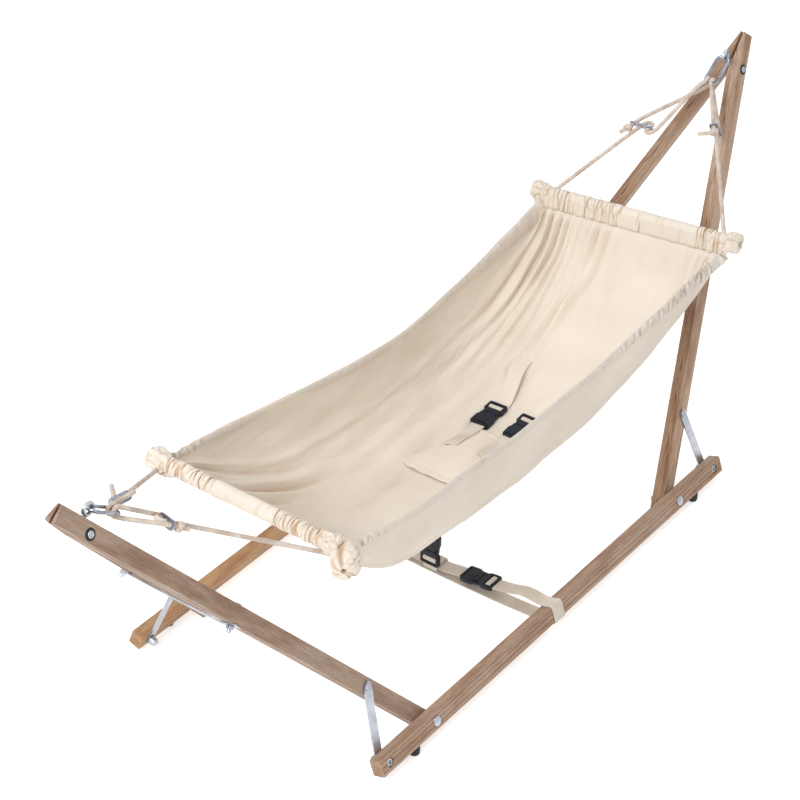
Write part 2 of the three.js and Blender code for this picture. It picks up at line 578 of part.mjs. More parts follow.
function makeCord(spec) {
  const frame = plateFrame(spec);
  const { line, target, start } = frame;
  const { pull, lift } = hookFrame(spec.end);
  const loop = HOOK_WIRE_R + CORD_R + 0.9;
  const w = spec.wrap;
  // a runs along the plate, b along the cord toward the hook
  const atPlate = (a, b) => frame.centre.clone().addScaledVector(frame.long, a * w).addScaledVector(line, b);
  const overHook = Math.sign(frame.long.dot(lift) * w) || 1;
  const atHook = (up, out) => target.clone().addScaledVector(lift, overHook * up * loop)
    .addScaledVector(pull, out * loop);
  const hole = cordHole(spec.end, spec.side);
  const leaves = spec.end === 'foot'
    ? [hole.clone().addScaledVector(Z_AXIS, 2), hole.clone().addScaledVector(Z_AXIS, -6),
      hole.clone().addScaledVector(Z_AXIS, -12), start.clone().addScaledVector(line, 1.5),
      start.clone().addScaledVector(line, 10)]
    : [hole.clone()];
  const pitch = PLATE.pitch;
  const edge = PLATE.length / 2 + CORD_R + 1.2;
  const mid = (pitch + edge) / 2;
  const behind = atPlate(-pitch, -12);
  const tail = spec.tail
    ? frame.m.clone().multiplyScalar(spec.tail[0]).addScaledVector(frame.e2, spec.tail[1])
    : line.clone().multiplyScalar(-13).addScaledVector(frame.long, -3 * w);
  const route = [
    ...leaves,
    atPlate(0, -24),
    atPlate(0, -8),
    atPlate(0, 0),
    atPlate(0, 4.5),
    atPlate(2, 8.6),
    atPlate(pitch / 2, 10.8),
    atPlate(pitch - 2, 8.6),
    atPlate(pitch, 4.5),
    atPlate(pitch, 0),
    atPlate(pitch, -4.5),
    atPlate(pitch + 1.6, -8.4),
    atPlate(mid, -10.2),
    atPlate(edge - 1.6, -8.4),
    atPlate(edge, -4),
    atPlate(edge, 3),
    atHook(1, 0).addScaledVector(line, -12),
    atHook(0.98, 0.14),
    atHook(0.72, -0.78),
    atHook(0, -1.04),
    atHook(-0.72, -0.78),
    atHook(-0.98, 0.14),
    atHook(-1, 0).addScaledVector(line, -12),
    atPlate(-pitch, 10),
    atPlate(-pitch, 0),
    behind,
    behind.clone().addScaledVector(tail, 0.5).addScaledVector(line, -1),
    behind.clone().add(tail),
  ];
  const body = solid(tube(route, CORD_R));
  const knot = new THREE.SphereGeometry(5.4, 8, 5);
  const knotAt = atPlate(-pitch, -11);
  knot.translate(knotAt.x, knotAt.y, knotAt.z);
  return toGeometry(body.add(solid(knot)));
}

// Cloth bed with a sleeve round each bar
const SLEEVE_MID = ROD_R + SLEEVE_GAP + SLEEVE_T / 2;

function rimEnd(endName, side, halfWidth) {
  const { centre, axis } = rodFrame(endName);
  return centre.clone().addScaledVector(axis, side * halfWidth).addScaledVector(Z_AXIS, -SLEEVE_MID);
}

const bump = (t, at, width) => Math.exp(-(((t - at) / width) ** 2));
const ease = (a, b, t) => THREE.MathUtils.smoothstep(t, a, b);

// Long folds that start at the sleeves and die out toward the middle
const HEAD_FOLDS = [[-0.86, 5], [-0.66, 6], [-0.5, 5], [-0.34, 4], [-0.16, 3.5], [0.04, 3], [0.3, 3]];
const FOOT_FOLDS = [[-0.78, 5], [-0.52, 4], [-0.28, 4], [0.1, 3.5], [0.46, 4], [0.76, 5]];

function foldHeight(v, u) {
  let height = 0;
  for (const [at, size] of HEAD_FOLDS) {
    height += size * bump(u, at, 0.06) * ease(0.6, 0.86, v) * ease(1, 0.97, v);
  }
  for (const [at, size] of FOOT_FOLDS) {
    height += size * bump(u, at, 0.07) * ease(0.34, 0.12, v) * ease(0, 0.03, v);
  }
  return height;
}

// Middle surface of the cloth: v from foot bar to head bar, u from left rim to right rim
function clothMiddle(v, u) {
  const side = Math.sign(u);
  const foot = rimEnd('foot', 0, 0);
  const head = rimEnd('head', 0, 0);
  const y0 = THREE.MathUtils.lerp(foot.y, head.y, v);
  const x0 = along(RIM_X, v);
  const rimTable = [[0, foot.z], ...RIM_Z, [1, head.z]];
  const z0 = along(rimTable, v);
  const near = v > 0.5 ? 'head' : 'foot';
  const share = near === 'head' ? ease(0.45, 1, v) : ease(0.45, 0, v);
  const { axis } = rodFrame(near);
  const angle = (1 - Math.abs(u)) * Math.PI / 2;
  const x = side * x0 * Math.cos(angle) ** (2 / SECTION_POWER);
  const low = Math.sin(angle) ** (2 / SECTION_POWER);
  const z = z0 - along(DEPTH, v) * low + foldHeight(v, u);
  return vec(x * (1 - share + share * axis.x), y0 + share * x * axis.y, z + share * x * axis.z);
}

function clothNormal(v, u) {
  const h = 0.004;
  const a = clothMiddle(Math.min(1, v + h), u).sub(clothMiddle(Math.max(0, v - h), u));
  const b = clothMiddle(v, Math.min(1, u + h)).sub(clothMiddle(v, Math.max(-1, u - h)));
  return b.cross(a).normalize();
}

function clothPoint(v, u, face) {
  const thick = CLOTH_T + HEM_EXTRA * ease(0.9, 0.97, Math.abs(u)) * ease(0, 0.04, v) * ease(1, 0.96, v);
  return clothMiddle(v, u).addScaledVector(clothNormal(v, u), (face * thick) / 2);
}

// Closed sheet from a grid of points: surface(i, j, face) with face 1 above and -1 below
function closedSheet(rows, columns, surface) {
  const positions = [];
  const index = [];
  const id = (i, j, face) => (face > 0 ? 0 : (rows + 1) * (columns + 1)) + i * (columns + 1) + j;
  for (const face of [1, -1]) {
    for (let i = 0; i <= rows; i += 1) {
      for (let j = 0; j <= columns; j += 1) positions.push(...surface(i, j, face).toArray());
    }
  }
  const quad = (a, b, c, d) => index.push(a, b, c, a, c, d);
  for (let i = 0; i < rows; i += 1) {
    for (let j = 0; j < columns; j += 1) {
      quad(id(i, j, 1), id(i, j + 1, 1), id(i + 1, j + 1, 1), id(i + 1, j, 1));
      quad(id(i, j, -1), id(i + 1, j, -1), id(i + 1, j + 1, -1), id(i, j + 1, -1));
    }
  }
  for (let i = 0; i < rows; i += 1) {
    quad(id(i, 0, 1), id(i + 1, 0, 1), id(i + 1, 0, -1), id(i, 0, -1));
    quad(id(i, columns, 1), id(i, columns, -1), id(i + 1, columns, -1), id(i + 1, columns, 1));
  }
  for (let j = 0; j < columns; j += 1) {
    quad(id(0, j, 1), id(0, j, -1), id(0, j + 1, -1), id(0, j + 1, 1));
    quad(id(rows, j, 1), id(rows, j + 1, 1), id(rows, j + 1, -1), id(rows, j, -1));
  }
  const g = new THREE.BufferGeometry();
  g.setAttribute('position', new THREE.Float32BufferAttribute(positions, 3));
  g.setIndex(index);
  return g;
}

// Tube of cloth round a bar, swollen where it is gathered at its ends
function makeSleeve(endName) {
  const { centre, axis } = rodFrame(endName);
  const inner = ROD_R + SLEEVE_GAP;
  const outer = inner + SLEEVE_T;
  const swell = outer + BUNCH_SWELL[endName];
  const [left, right] = SLEEVE_PAST[endName].map((past) => ROD_HALF[endName] + past);
  const length = left + right;
  const a = centre.clone().addScaledVector(axis, -left);
  const profile = [[inner, 0], [outer + 0.8, 0], [swell, BUNCH_LENGTH * 0.3],
    [swell - 1.4, BUNCH_LENGTH * 0.7],
    [outer, BUNCH_LENGTH], [outer, length - BUNCH_LENGTH], [swell - 1.4, length - BUNCH_LENGTH * 0.7],
    [swell, length - BUNCH_LENGTH * 0.3], [outer + 0.8, length], [inner, length], [inner, 0]];
  return solid(turned(profile, a, axis, 10));
}

// Loose bunch that hangs off the right end of the foot bar, open in the middle
function makeHangingBunch() {
  const { centre, axis } = rodFrame('foot');
  const { out, drop, half, mouth } = HANGING_BUNCH;
  const at = centre.clone().addScaledVector(axis, ROD_HALF.foot + out).addScaledVector(Z_AXIS, -drop);
  const ball = new THREE.SphereGeometry(1, 10, 7);
  ball.scale(...half).translate(at.x, at.y, at.z);
  const opens = vec(...mouth).normalize();
  const from = at.clone().addScaledVector(opens, half[0] * 0.45);
  return drill(solid(ball), from, at.clone().addScaledVector(opens, half[2]), 5, 8);
}

const CLOTH_ROWS = 12;
const CLOTH_COLUMNS = 20;
const rowAt = (i) => i / CLOTH_ROWS - 0.055 * Math.sin((2 * Math.PI * i) / CLOTH_ROWS);
const gridPoint = (i, j, face) => clothPoint(rowAt(i), -1 + (2 * j) / CLOTH_COLUMNS, face);

function makeCloth() {
  const sheet = closedSheet(CLOTH_ROWS, CLOTH_COLUMNS, gridPoint);
  let cloth = solid(sheet);
  for (const endName of ['foot', 'head']) {
    const { centre, axis } = rodFrame(endName);
    const past = ROD_HALF[endName] + PLAY + 0.3;
    const a = centre.clone().addScaledVector(axis, -past - 60);
    const b = centre.clone().addScaledVector(axis, past);
    if (endName === 'foot') cloth = cloth.add(makeHangingBunch());
    const bore = endName === 'foot' ? b : b.addScaledVector(axis, 60);
    cloth = drill(cloth, a, bore, ROD_R + SLEEVE_GAP + 0.4, 10).add(makeSleeve(endName));
    for (const side of [-1, 1]) {
      const start = cordStart(endName, side);
      const out = start.clone().addScaledVector(cordLine(endName, side), 30);
      cloth = drill(cloth, ...cordBore(endName, side), CORD_R + 0.8, 10);
      if (endName === 'foot') cloth = drill(cloth, start, out, CORD_R + 1.2, 10);
    }
  }
  return toGeometry(cloth);
}

// Point lifted off the upper face of the bed at a given x and y
function bedPoint(x, y, lift) {
  const v = (y - FOOT_ROD.y) / (HEAD_ROD.y - FOOT_ROD.y);
  let i = 0;
  while (rowAt(i + 1) < v) i += 1;
  const f = (v - rowAt(i)) / (rowAt(i + 1) - rowAt(i));
  const edge = (j) => gridPoint(i, j, 1).lerp(gridPoint(i + 1, j, 1), f);
  let j = 0;
  while (j < CLOTH_COLUMNS - 1 && edge(j + 1).x < x) j += 1;
  const [a, b] = [edge(j), edge(j + 1)];
  const g = (x - a.x) / (b.x - a.x);
  return a.lerp(b, g).addScaledVector(clothNormal(v, -1 + (2 * (j + g)) / CLOTH_COLUMNS), lift);
}

// Harness lying slack on the bed
const PANEL = { from: -20, to: 128, half: 62, halfTop: 44, thick: 3, crown: 12 };
const BUCKLE_Y = [134, 134 + BUCKLE.length];
const YOKE = { x: 30, spread: 56, to: 296 };
const BED_LIFT = 0.5;

function makePanel() {
  return closedSheet(7, 6, (i, j, face) => {
    const t = i / 7;
    const half = THREE.MathUtils.lerp(PANEL.half, PANEL.halfTop, ease(0, 0.8, t));
    const x = (-1 + j / 3) * half;
    const y = THREE.MathUtils.lerp(PANEL.from, PANEL.to, t);
    const crown = PANEL.crown * Math.sin(Math.PI * t) * (1 - (1 - j / 3) ** 2);
    return bedPoint(x, y, BED_LIFT + crown + (face > 0 ? PANEL.thick : 0));
  });
}

function yokeX(side, y) {
  return side * THREE.MathUtils.lerp(YOKE.x, YOKE.spread, ease(BUCKLE_Y[1], YOKE.to, y));
}

function makeShoulderStrap(side) {
  const rows = 10;
  return closedSheet(rows, 2, (i, j, face) => {
    const y = THREE.MathUtils.lerp(BUCKLE_Y[1] + PLAY, YOKE.to, i / rows);
    const x = yokeX(side, y) + ((j - 1) * TAPE_W) / 2;
    const slack = 5 * Math.sin((Math.PI * i) / rows);
    return bedPoint(x, y, BED_LIFT + slack + (face > 0 ? 2.2 : 0));
  });
}

// Side release buckle with the tape channel through it, length along local y
function buckleSolid() {
  const l = BUCKLE.length / 2;
  const w = BUCKLE.width / 2;
  const outline = [[-w, -l + 3], [-w + 3, -l], [w - 3, -l], [w, -l + 3], [w, -8],
    [w - 5, -2], [w - 3.5, 5], [w, 10],
    [w, l - 3], [w - 3, l], [-w + 3, l], [-w, l - 3], [-w, 10], [-w + 3.5, 5], [-w + 5, -2], [-w, -8]];
  const shape = new THREE.Shape(outline.map(([x, y]) => new THREE.Vector2(x, y)));
  const g = new THREE.ExtrudeGeometry(shape, { depth: BUCKLE.thick, bevelEnabled: false });
  g.translate(0, 0, -BUCKLE.thick / 2);
  const channel = new THREE.BoxGeometry(TAPE_W + 1, BUCKLE.length + 4, TAPE_T + 1.2);
  const window = new THREE.BoxGeometry(TAPE_W - 2, 9, BUCKLE.thick);
  window.translate(0, l - 9, BUCKLE.thick / 2);
  return solid(g).subtract(solid(channel)).subtract(solid(window));
}

function makeBuckle(matrix) {
  return toGeometry(buckleSolid()).applyMatrix4(matrix);
}

function harnessBuckleMatrix(side) {
  const y0 = BUCKLE_Y[0] + BUCKLE.length / 2;
  const x = side * YOKE.x;
  const a = bedPoint(x, y0 - 26, 0);
  const b = bedPoint(x, y0 + 26, 0);
  const long = b.clone().sub(a).normalize();
  const across = bedPoint(x + 15, y0, 0).sub(bedPoint(x - 15, y0, 0));
  const normal = across.cross(long).normalize();
  const wide = long.clone().cross(normal).normalize();
  const centre = a.clone().lerp(b, 0.5).addScaledVector(normal, BUCKLE.thick / 2 + 2);
  return basis(centre, wide, long, normal);
}

// Belt round both rails, tied to the hammock by a hanging strap
const BELT_INNER_GAP = 0.5;

// Loop drawn in x and z, run along y by the tape width
function makeBelt(shift) {
  const t = shift;
  const corner = (q, r) => {
    const p = inFrame(0, q, r);
    return [p.x, p.z];
  };
  const q = BAR_B / 2 + BELT_INNER_GAP + t;
  const r = BAR_T / 2 + BELT_INNER_GAP + t;
  const e = 1.6;
  const right = [[70, 2.1 - t], [150, 4.2 - t], corner(-q, -r + e), corner(-q, r - e), corner(-q + e, r),
    corner(q - e, r), corner(q, r - e), corner(q, -r + 2), [172, 36.5 + t], [148, 28.4 + t], [124, 23.4 + t],
    [56, 15.4 + t], [24, 10 + t]];
  const left = right.map(([x, z]) => [-x, z]).reverse();
  const loop = [...right, ...left];
  return loop.map(([x, z]) => new THREE.Vector2(x, z));
}

function makeBeltBand() {
  const shape = new THREE.Shape(makeBelt(TAPE_T));
  shape.holes.push(new THREE.Path(makeBelt(0).reverse()));
  const g = new THREE.ExtrudeGeometry(shape, { depth: TAPE_W, bevelEnabled: false });
  g.applyMatrix4(basis(vec(0, BELT_AT + TAPE_W / 2, 0), X_AXIS, Z_AXIS, Y_AXIS.clone().negate()));
  return g;
}

// Put the pieces together
const rail = makeRail();
add('rail_right', rail, ASH);
add('rail_left', toCorner(rail, -1, 1), ASH);

const perCorner = [
  ['leg', makeLeg(), ASH],
  ['brace', makeBrace(), STEEL],
  ['leg_bolt', makePivotBolt(), STEEL],
  ['brace_bolt', makeBraceBolt(), STEEL],
  ['brace_screw', makeBraceScrew(), STEEL],
  ['strap_bolt', makeStrapBolt(), STEEL],
  ['foot_pad', makeFoot(), RUBBER],
];
for (const [name, geometry, look] of perCorner) {
  for (const [sideName, sx] of [['left', -1], ['right', 1]]) {
    for (const [endName, sy] of [['foot', -1], ['head', 1]]) {
      add(`${name}_${endName}_${sideName}`, toCorner(geometry, sx, sy), look);
    }
  }
}

const crossStrap = makeCrossStrap();
const apexBolt = makeApexBolt();
for (const [endName, sy] of [['foot', -1], ['head', 1]]) {
  add(`cross_strap_${endName}`, toCorner(crossStrap, 1, sy), STEEL);
  add(`apex_bolt_${endName}`, toCorner(apexBolt, 1, sy), STEEL);
  add(`eye_${endName}`, toCorner(makeEye(endName), 1, sy), STEEL);
  add(`hook_${endName}`, makeHookBody(endName), STEEL);
  add(`hook_gate_${endName}`, makeHookGate(endName), STEEL);
  add(`spreader_bar_${endName}`, makeRod(endName), DOWEL);
}

for (const [name, spec] of Object.entries(CORDS)) {
  add(`cord_${name}`, makeCord(spec), CORD);
  add(`cord_adjuster_${name}`, makePlate(spec), STEEL);
}

add('hammock_cloth', makeCloth(), CREAM);
add('harness_panel', makePanel(), CREAM);
for (const [sideName, side] of [['left', -1], ['right', 1]]) {
  add(`shoulder_strap_${sideName}`, makeShoulderStrap(side), CREAM);
  add(`harness_buckle_${sideName}`, makeBuckle(harnessBuckleMatrix(side)), BLACK);
}

add('belt', makeBeltBand(), CREAM);
const beltBuckleLong = vec(Math.cos(BELT_BUCKLE.tilt), 0, Math.sin(BELT_BUCKLE.tilt));
const beltBuckleUp = Y_AXIS.clone().negate().cross(beltBuckleLong).normalize();
add('belt_buckle', makeBuckle(basis(vec(BELT_BUCKLE.x, BELT_AT, BELT_BUCKLE.z),
  Y_AXIS.clone().negate(), beltBuckleLong, beltBuckleUp)), BLACK);

// Strap from under the bed, through its buckle, ending in a loose loop round the belt
const ANCHOR = { x: 6, y: -34, buckleFrom: 16.5, loopLow: 6.6, loopHigh: 14.2 };

function makeAnchorStrap() {
  const back = BELT_AT + TAPE_W / 2 + 1.2;
  const front = ANCHOR.y + TAPE_T / 2;
  const low = ANCHOR.loopLow;
  const high = ANCHOR.loopHigh;
  const t = TAPE_T;
  const shape = new THREE.Shape([[front - t, low - t], [back + t, low - t], [back + t, high + t],
    [front, high + t], [front, 100], [front - t, 100]].map(([y, z]) => new THREE.Vector2(y, z)));
  shape.holes.push(new THREE.Path([[front, low], [front, high], [back, high], [back, low]]
    .map(([y, z]) => new THREE.Vector2(y, z))));
  const g = new THREE.ExtrudeGeometry(shape, { depth: TAPE_W, bevelEnabled: false });
  g.applyMatrix4(basis(vec(ANCHOR.x - TAPE_W / 2, 0, 0), Y_AXIS, Z_AXIS, X_AXIS));
  const v = (ANCHOR.y - FOOT_ROD.y) / (HEAD_ROD.y - FOOT_ROD.y);
  const top = clothMiddle(v, 0).z - CLOTH_T / 2 - 0.8;
  const half = TAPE_W / 2;
  const end = new THREE.Shape([[-half, 99], [half, 99], [half, top - 2.5], [half - 4, top], [-half + 4, top],
    [-half, top - 2.5]].map(([x, z]) => new THREE.Vector2(x, z)));
  const up = new THREE.ExtrudeGeometry(end, { depth: TAPE_T, bevelEnabled: false });
  up.applyMatrix4(basis(vec(ANCHOR.x, front, 0), X_AXIS, Z_AXIS, Y_AXIS.clone().negate()));
  return toGeometry(solid(g).add(solid(up)));
}

const anchorPlace = basis(vec(ANCHOR.x, ANCHOR.y, ANCHOR.buckleFrom + BUCKLE.length / 2), X_AXIS, Z_AXIS,
  Y_AXIS.clone().negate());
add('anchor_strap', makeAnchorStrap(), CREAM);
add('anchor_buckle', makeBuckle(anchorPlace), BLACK);

export default group;
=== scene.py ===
import bpy
import math
import random
import numpy as np
from mathutils import Matrix, Vector


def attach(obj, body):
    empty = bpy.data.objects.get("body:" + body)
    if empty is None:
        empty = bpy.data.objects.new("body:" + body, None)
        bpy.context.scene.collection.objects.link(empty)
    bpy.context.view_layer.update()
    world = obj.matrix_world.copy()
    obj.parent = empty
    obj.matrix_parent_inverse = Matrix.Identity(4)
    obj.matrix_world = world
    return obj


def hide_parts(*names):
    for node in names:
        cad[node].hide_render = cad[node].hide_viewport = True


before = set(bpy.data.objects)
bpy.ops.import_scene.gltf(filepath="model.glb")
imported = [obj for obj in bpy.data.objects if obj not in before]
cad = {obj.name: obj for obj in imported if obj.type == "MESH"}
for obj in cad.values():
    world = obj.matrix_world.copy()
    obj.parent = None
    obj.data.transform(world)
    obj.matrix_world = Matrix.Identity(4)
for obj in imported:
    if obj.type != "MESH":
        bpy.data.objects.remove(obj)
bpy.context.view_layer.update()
scene = bpy.context.scene


# View: a long lens standing high at the foot end, on the right. The stand's bolts and bar ends were lined up
# with the photograph to find it.
CAMERA_AT = (1.71191, -2.49606, 2.40090)
CAMERA_TURN, CAMERA_DIP, CAMERA_ROLL = 0.6272, 0.6081, 0.0254
FOCAL_PIXELS, MIDDLE_X, MIDDLE_Y, FRAME_PIXELS = 2517.22, 392.30, 400.21, 800


def placed(name, data):
    """A new object in the scene, from a mesh, a lamp or a lens."""
    made = bpy.data.objects.new(name, data)
    scene.collection.objects.link(made)
    return made


view = Vector((-math.sin(CAMERA_TURN) * math.cos(CAMERA_DIP), math.cos(CAMERA_TURN) * math.cos(CAMERA_DIP),
               -math.sin(CAMERA_DIP)))
level = Vector((math.cos(CAMERA_TURN), math.sin(CAMERA_TURN), 0))
above = level.cross(view)
right = level * math.cos(CAMERA_ROLL) + above * math.sin(CAMERA_ROLL)
above = above * math.cos(CAMERA_ROLL) - level * math.sin(CAMERA_ROLL)
lens = bpy.data.cameras.new("camera")
lens.sensor_width = 36
lens.lens = FOCAL_PIXELS * lens.sensor_width / FRAME_PIXELS
lens.shift_x = (FRAME_PIXELS / 2 - MIDDLE_X) / FRAME_PIXELS
lens.shift_y = (MIDDLE_Y - FRAME_PIXELS / 2) / FRAME_PIXELS
lens.clip_end = 50
camera = placed("camera", lens)
camera.matrix_world = Matrix((
    (right.x, above.x, -view.x, CAMERA_AT[0]),
    (right.y, above.y, -view.y, CAMERA_AT[1]),
    (right.z, above.z, -view.z, CAMERA_AT[2]),
    (0, 0, 0, 1)))
scene.camera = camera
scene.view_settings.view_transform = "Standard"


# Floor and light: white studio paper that glows a little, under big soft lamps, a strong one from the foot
# end, weaker ones from the left, the right and above, and an even pale surround.
def linear(code):
    """sRGB hex to the linear colour that a shader takes."""
    parts = [int(code[i:i + 2], 16) / 255 for i in (0, 2, 4)]
    return tuple(c / 12.92 if c <= 0.04045 else ((c + 0.055) / 1.055) ** 2.4 for c in parts) + (1,)


def add(tree, kind, inputs=None, stops=(), **settings):
    """Adds one node with its settings and links. An input takes a value, a socket or the first socket of
    another node; stops are the places and colours of a ramp."""
    made = tree.nodes.new("ShaderNode" + kind)
    for key, value in settings.items():
        setattr(made, key, value)
    for socket, value in (inputs or {}).items():
        if isinstance(value, bpy.types.Node):
            value = value.outputs[0]
        if isinstance(value, bpy.types.NodeSocket):
            tree.links.new(value, made.inputs[socket])
        else:
            made.inputs[socket].default_value = value
    for count, (place, code) in enumerate(stops):
        ramp = made.color_ramp.elements
        stop = ramp[count] if count < 2 else ramp.new(place)
        stop.position, stop.color = place, linear(code)
    return made


def seen_plainly(tree):
    """1 where the camera, a mirror or a clear thing looks, 0 for the light that things get."""
    ray = add(tree, "LightPath")
    seen = add(tree, "Math", {0: ray.outputs["Is Camera Ray"], 1: ray.outputs["Is Glossy Ray"]},
               operation="MAXIMUM")
    return add(tree, "Math", {0: seen, 1: ray.outputs["Is Transmission Ray"]}, operation="MAXIMUM")


paper = bpy.data.materials.new("white_studio_paper")
paper.use_nodes = True
tree = paper.node_tree
tree.nodes.clear()
matt = add(tree, "BsdfDiffuse", {"Color": (0.86, 0.86, 0.86, 1)})
glow = add(tree, "MapRange", {"To Min": 0.28, "To Max": 0.57, "Value": seen_plainly(tree)})
white = add(tree, "Emission", {"Color": (1, 1, 1, 1), "Strength": glow})
add(tree, "OutputMaterial", {"Surface": add(tree, "AddShader", {0: matt, 1: white})})
floor_mesh = bpy.data.meshes.new("floor")
floor_mesh.from_pydata([(-12, -12, 0), (12, -12, 0), (12, 12, 0), (-12, 12, 0)], [], [(0, 1, 2, 3)])
floor_mesh.materials.append(paper)
floor = placed("floor", floor_mesh)
floor.location.z = -0.0005

world = bpy.data.worlds.new("pale_studio")
world.use_nodes = True
scene.world = world
tree = world.node_tree
tree.nodes.clear()
around = add(tree, "Background", {"Color": (1, 0.985, 0.965, 1), "Strength": 0.54})
behind = add(tree, "Background", {"Color": (1, 1, 1, 1), "Strength": 1.0})
shown = add(tree, "MixShader", {0: seen_plainly(tree), 1: around, 2: behind})
add(tree, "OutputWorld", {"Surface": shown})

LIT_POINT = Vector((0, 0.05, 0.3))
for name, place, size, power in (("lamp_left", (-2.4, -1.0, 3.0), 1.4, 15),
                                 ("lamp_right", (3.0, -0.8, 2.4), 2.0, 4),
                                 ("lamp_foot", (0.3, -3.3, 2.7), 1.6, 77),
                                 ("lamp_top", (0.2, 1.2, 3.6), 2.0, 19)):
    light = bpy.data.lights.new(name, "AREA")
    light.shape, light.size, light.energy = "DISK", size, power
    lamp = placed(name, light)
    lamp.location = place
    lamp.rotation_euler = (LIT_POINT - Vector(place)).to_track_quat("-Z", "Y").to_euler()


# Suspension cords: four natural braided cords, 6.5 mm thick. Each comes out of its spreader bar, goes up
# through its adjuster plate, round the plate's end, over the hook and back to a stopper knot.
MM = 0.001
CORD_R = 3.25
HOOK_WIRE_R = 2.6
HOOK_LENGTH = 52
PLATE_LENGTH, PLATE_PITCH = 42, 14
X, Y, Z = Vector((1, 0, 0)), Vector((0, 1, 0)), Vector((0, 0, 1))
LEAN, LEG_ANGLE = math.radians(19.8), math.radians(50.6)
BAR_T, BAR_B = 20.5, 26
PIVOT_AT, LEG_GAP = 324, 3.1
up_plane = Vector((-math.sin(LEAN), 0, math.cos(LEAN)))
out_plane = Vector((math.cos(LEAN), 0, math.sin(LEAN)))
leg_along = Y * math.cos(LEG_ANGLE) + up_plane * math.sin(LEG_ANGLE)
leg_under = Y * math.sin(LEG_ANGLE) - up_plane * math.cos(LEG_ANGLE)


def in_frame(p, q, r):
    """Point of the right side frame: p along the rail, q up in its leaning plane, r outward."""
    return Vector((219, 0, 24)) + Y * p + up_plane * q + out_plane * r


leg_pivot = in_frame(PIVOT_AT, 0, -(BAR_T + LEG_GAP))
apex = leg_pivot + leg_along * ((leg_pivot.x - BAR_T / 2 * out_plane.x) / -leg_along.x - 4)
ENDS = {
    "foot": {"sign": -1, "reach": 26, "turn": 52, "drop": 33, "bar": Vector((-6, -457, 381)), "half": 158,
             "cord_in": 8, "tilt": 0, "yaw": 0},
    "head": {"sign": 1, "reach": 36, "turn": 41, "drop": 35, "bar": Vector((1, 508, 375)), "half": 168,
             "cord_in": 12, "tilt": 0.07, "yaw": 0.055},
}
for end in ENDS.values():
    sign, turn, drop = end["sign"], math.radians(end["turn"]), math.radians(end["drop"])
    end["eye_out"] = Vector((0, -sign * math.sin(turn), math.cos(turn)))
    end["apex"] = Vector((0, sign * apex.y, apex.z))
    end["ring"] = end["apex"] + end["eye_out"] * end["reach"]
    end["pull"] = Vector((0, -sign * math.cos(drop), -math.sin(drop)))
    end["lift"] = Vector((0, -sign * math.sin(drop), math.cos(drop)))
    end["hook"] = end["ring"] + end["pull"] * 2.3
    flat = math.cos(end["tilt"])
    end["axis"] = Vector((flat * math.cos(end["yaw"]), flat * math.sin(end["yaw"]), math.sin(end["tilt"])))


def curve_through(points, step):
    """Even points, about step mm apart, on a smooth curve through the listed ones."""
    p = [Vector(q) for q in points]
    p = [p[0] * 2 - p[1]] + p + [p[-1] * 2 - p[-2]]
    fine = []
    for i in range(1, len(p) - 2):
        knots = [0.0]
        for a, b in zip(p[i - 1:i + 2], p[i:i + 3]):
            knots.append(knots[-1] + max(1e-4, (b - a).length) ** 0.5)
        for t in np.linspace(knots[1], knots[2], 12, endpoint=False):
            a = [(p[i - 1 + k] * (knots[k + 1] - t) + p[i + k] * (t - knots[k])) / (knots[k + 1] - knots[k])
                 for k in range(3)]
            b = [(a[k] * (knots[k + 2] - t) + a[k + 1] * (t - knots[k])) / (knots[k + 2] - knots[k])
                 for k in range(2)]
            fine.append((b[0] * (knots[2] - t) + b[1] * (t - knots[1])) / (knots[2] - knots[1]))
    fine = np.array([list(q) for q in fine + [p[-2]]])
    run = run_along(fine)
    even = np.linspace(0, run[-1], max(3, int(run[-1] / step) + 1))
    return np.stack([np.interp(even, run, fine[:, k]) for k in range(3)], 1), even


def run_along(path):
    """Length from the start of a path to each of its points."""
    return np.concatenate([[0], np.cumsum(np.linalg.norm(np.diff(path, axis=0), axis=1))])


def unit(a):
    """Directions of length 1."""
    return a / np.maximum(np.linalg.norm(a, axis=-1, keepdims=True), 1e-9)


def circle(count):
    return np.linspace(0, 2 * math.pi, count, endpoint=False)


def grid_uv(over, down):
    """UV in mm for a grid, from the lengths across it and down it."""
    return np.stack(np.broadcast_arrays(over[None, :], down[:, None]), -1)


def rings_along(path):
    """Two directions square to the path at each of its points, without twist."""
    tangent = unit(np.gradient(path, axis=0))
    across = [unit(np.cross(tangent[0], (0.31, 0.22, 0.93)))]
    for t in tangent[1:]:
        across.append(unit(across[-1] - t * np.dot(across[-1], t)))
    across = np.array(across)
    return across, np.cross(tangent, across)


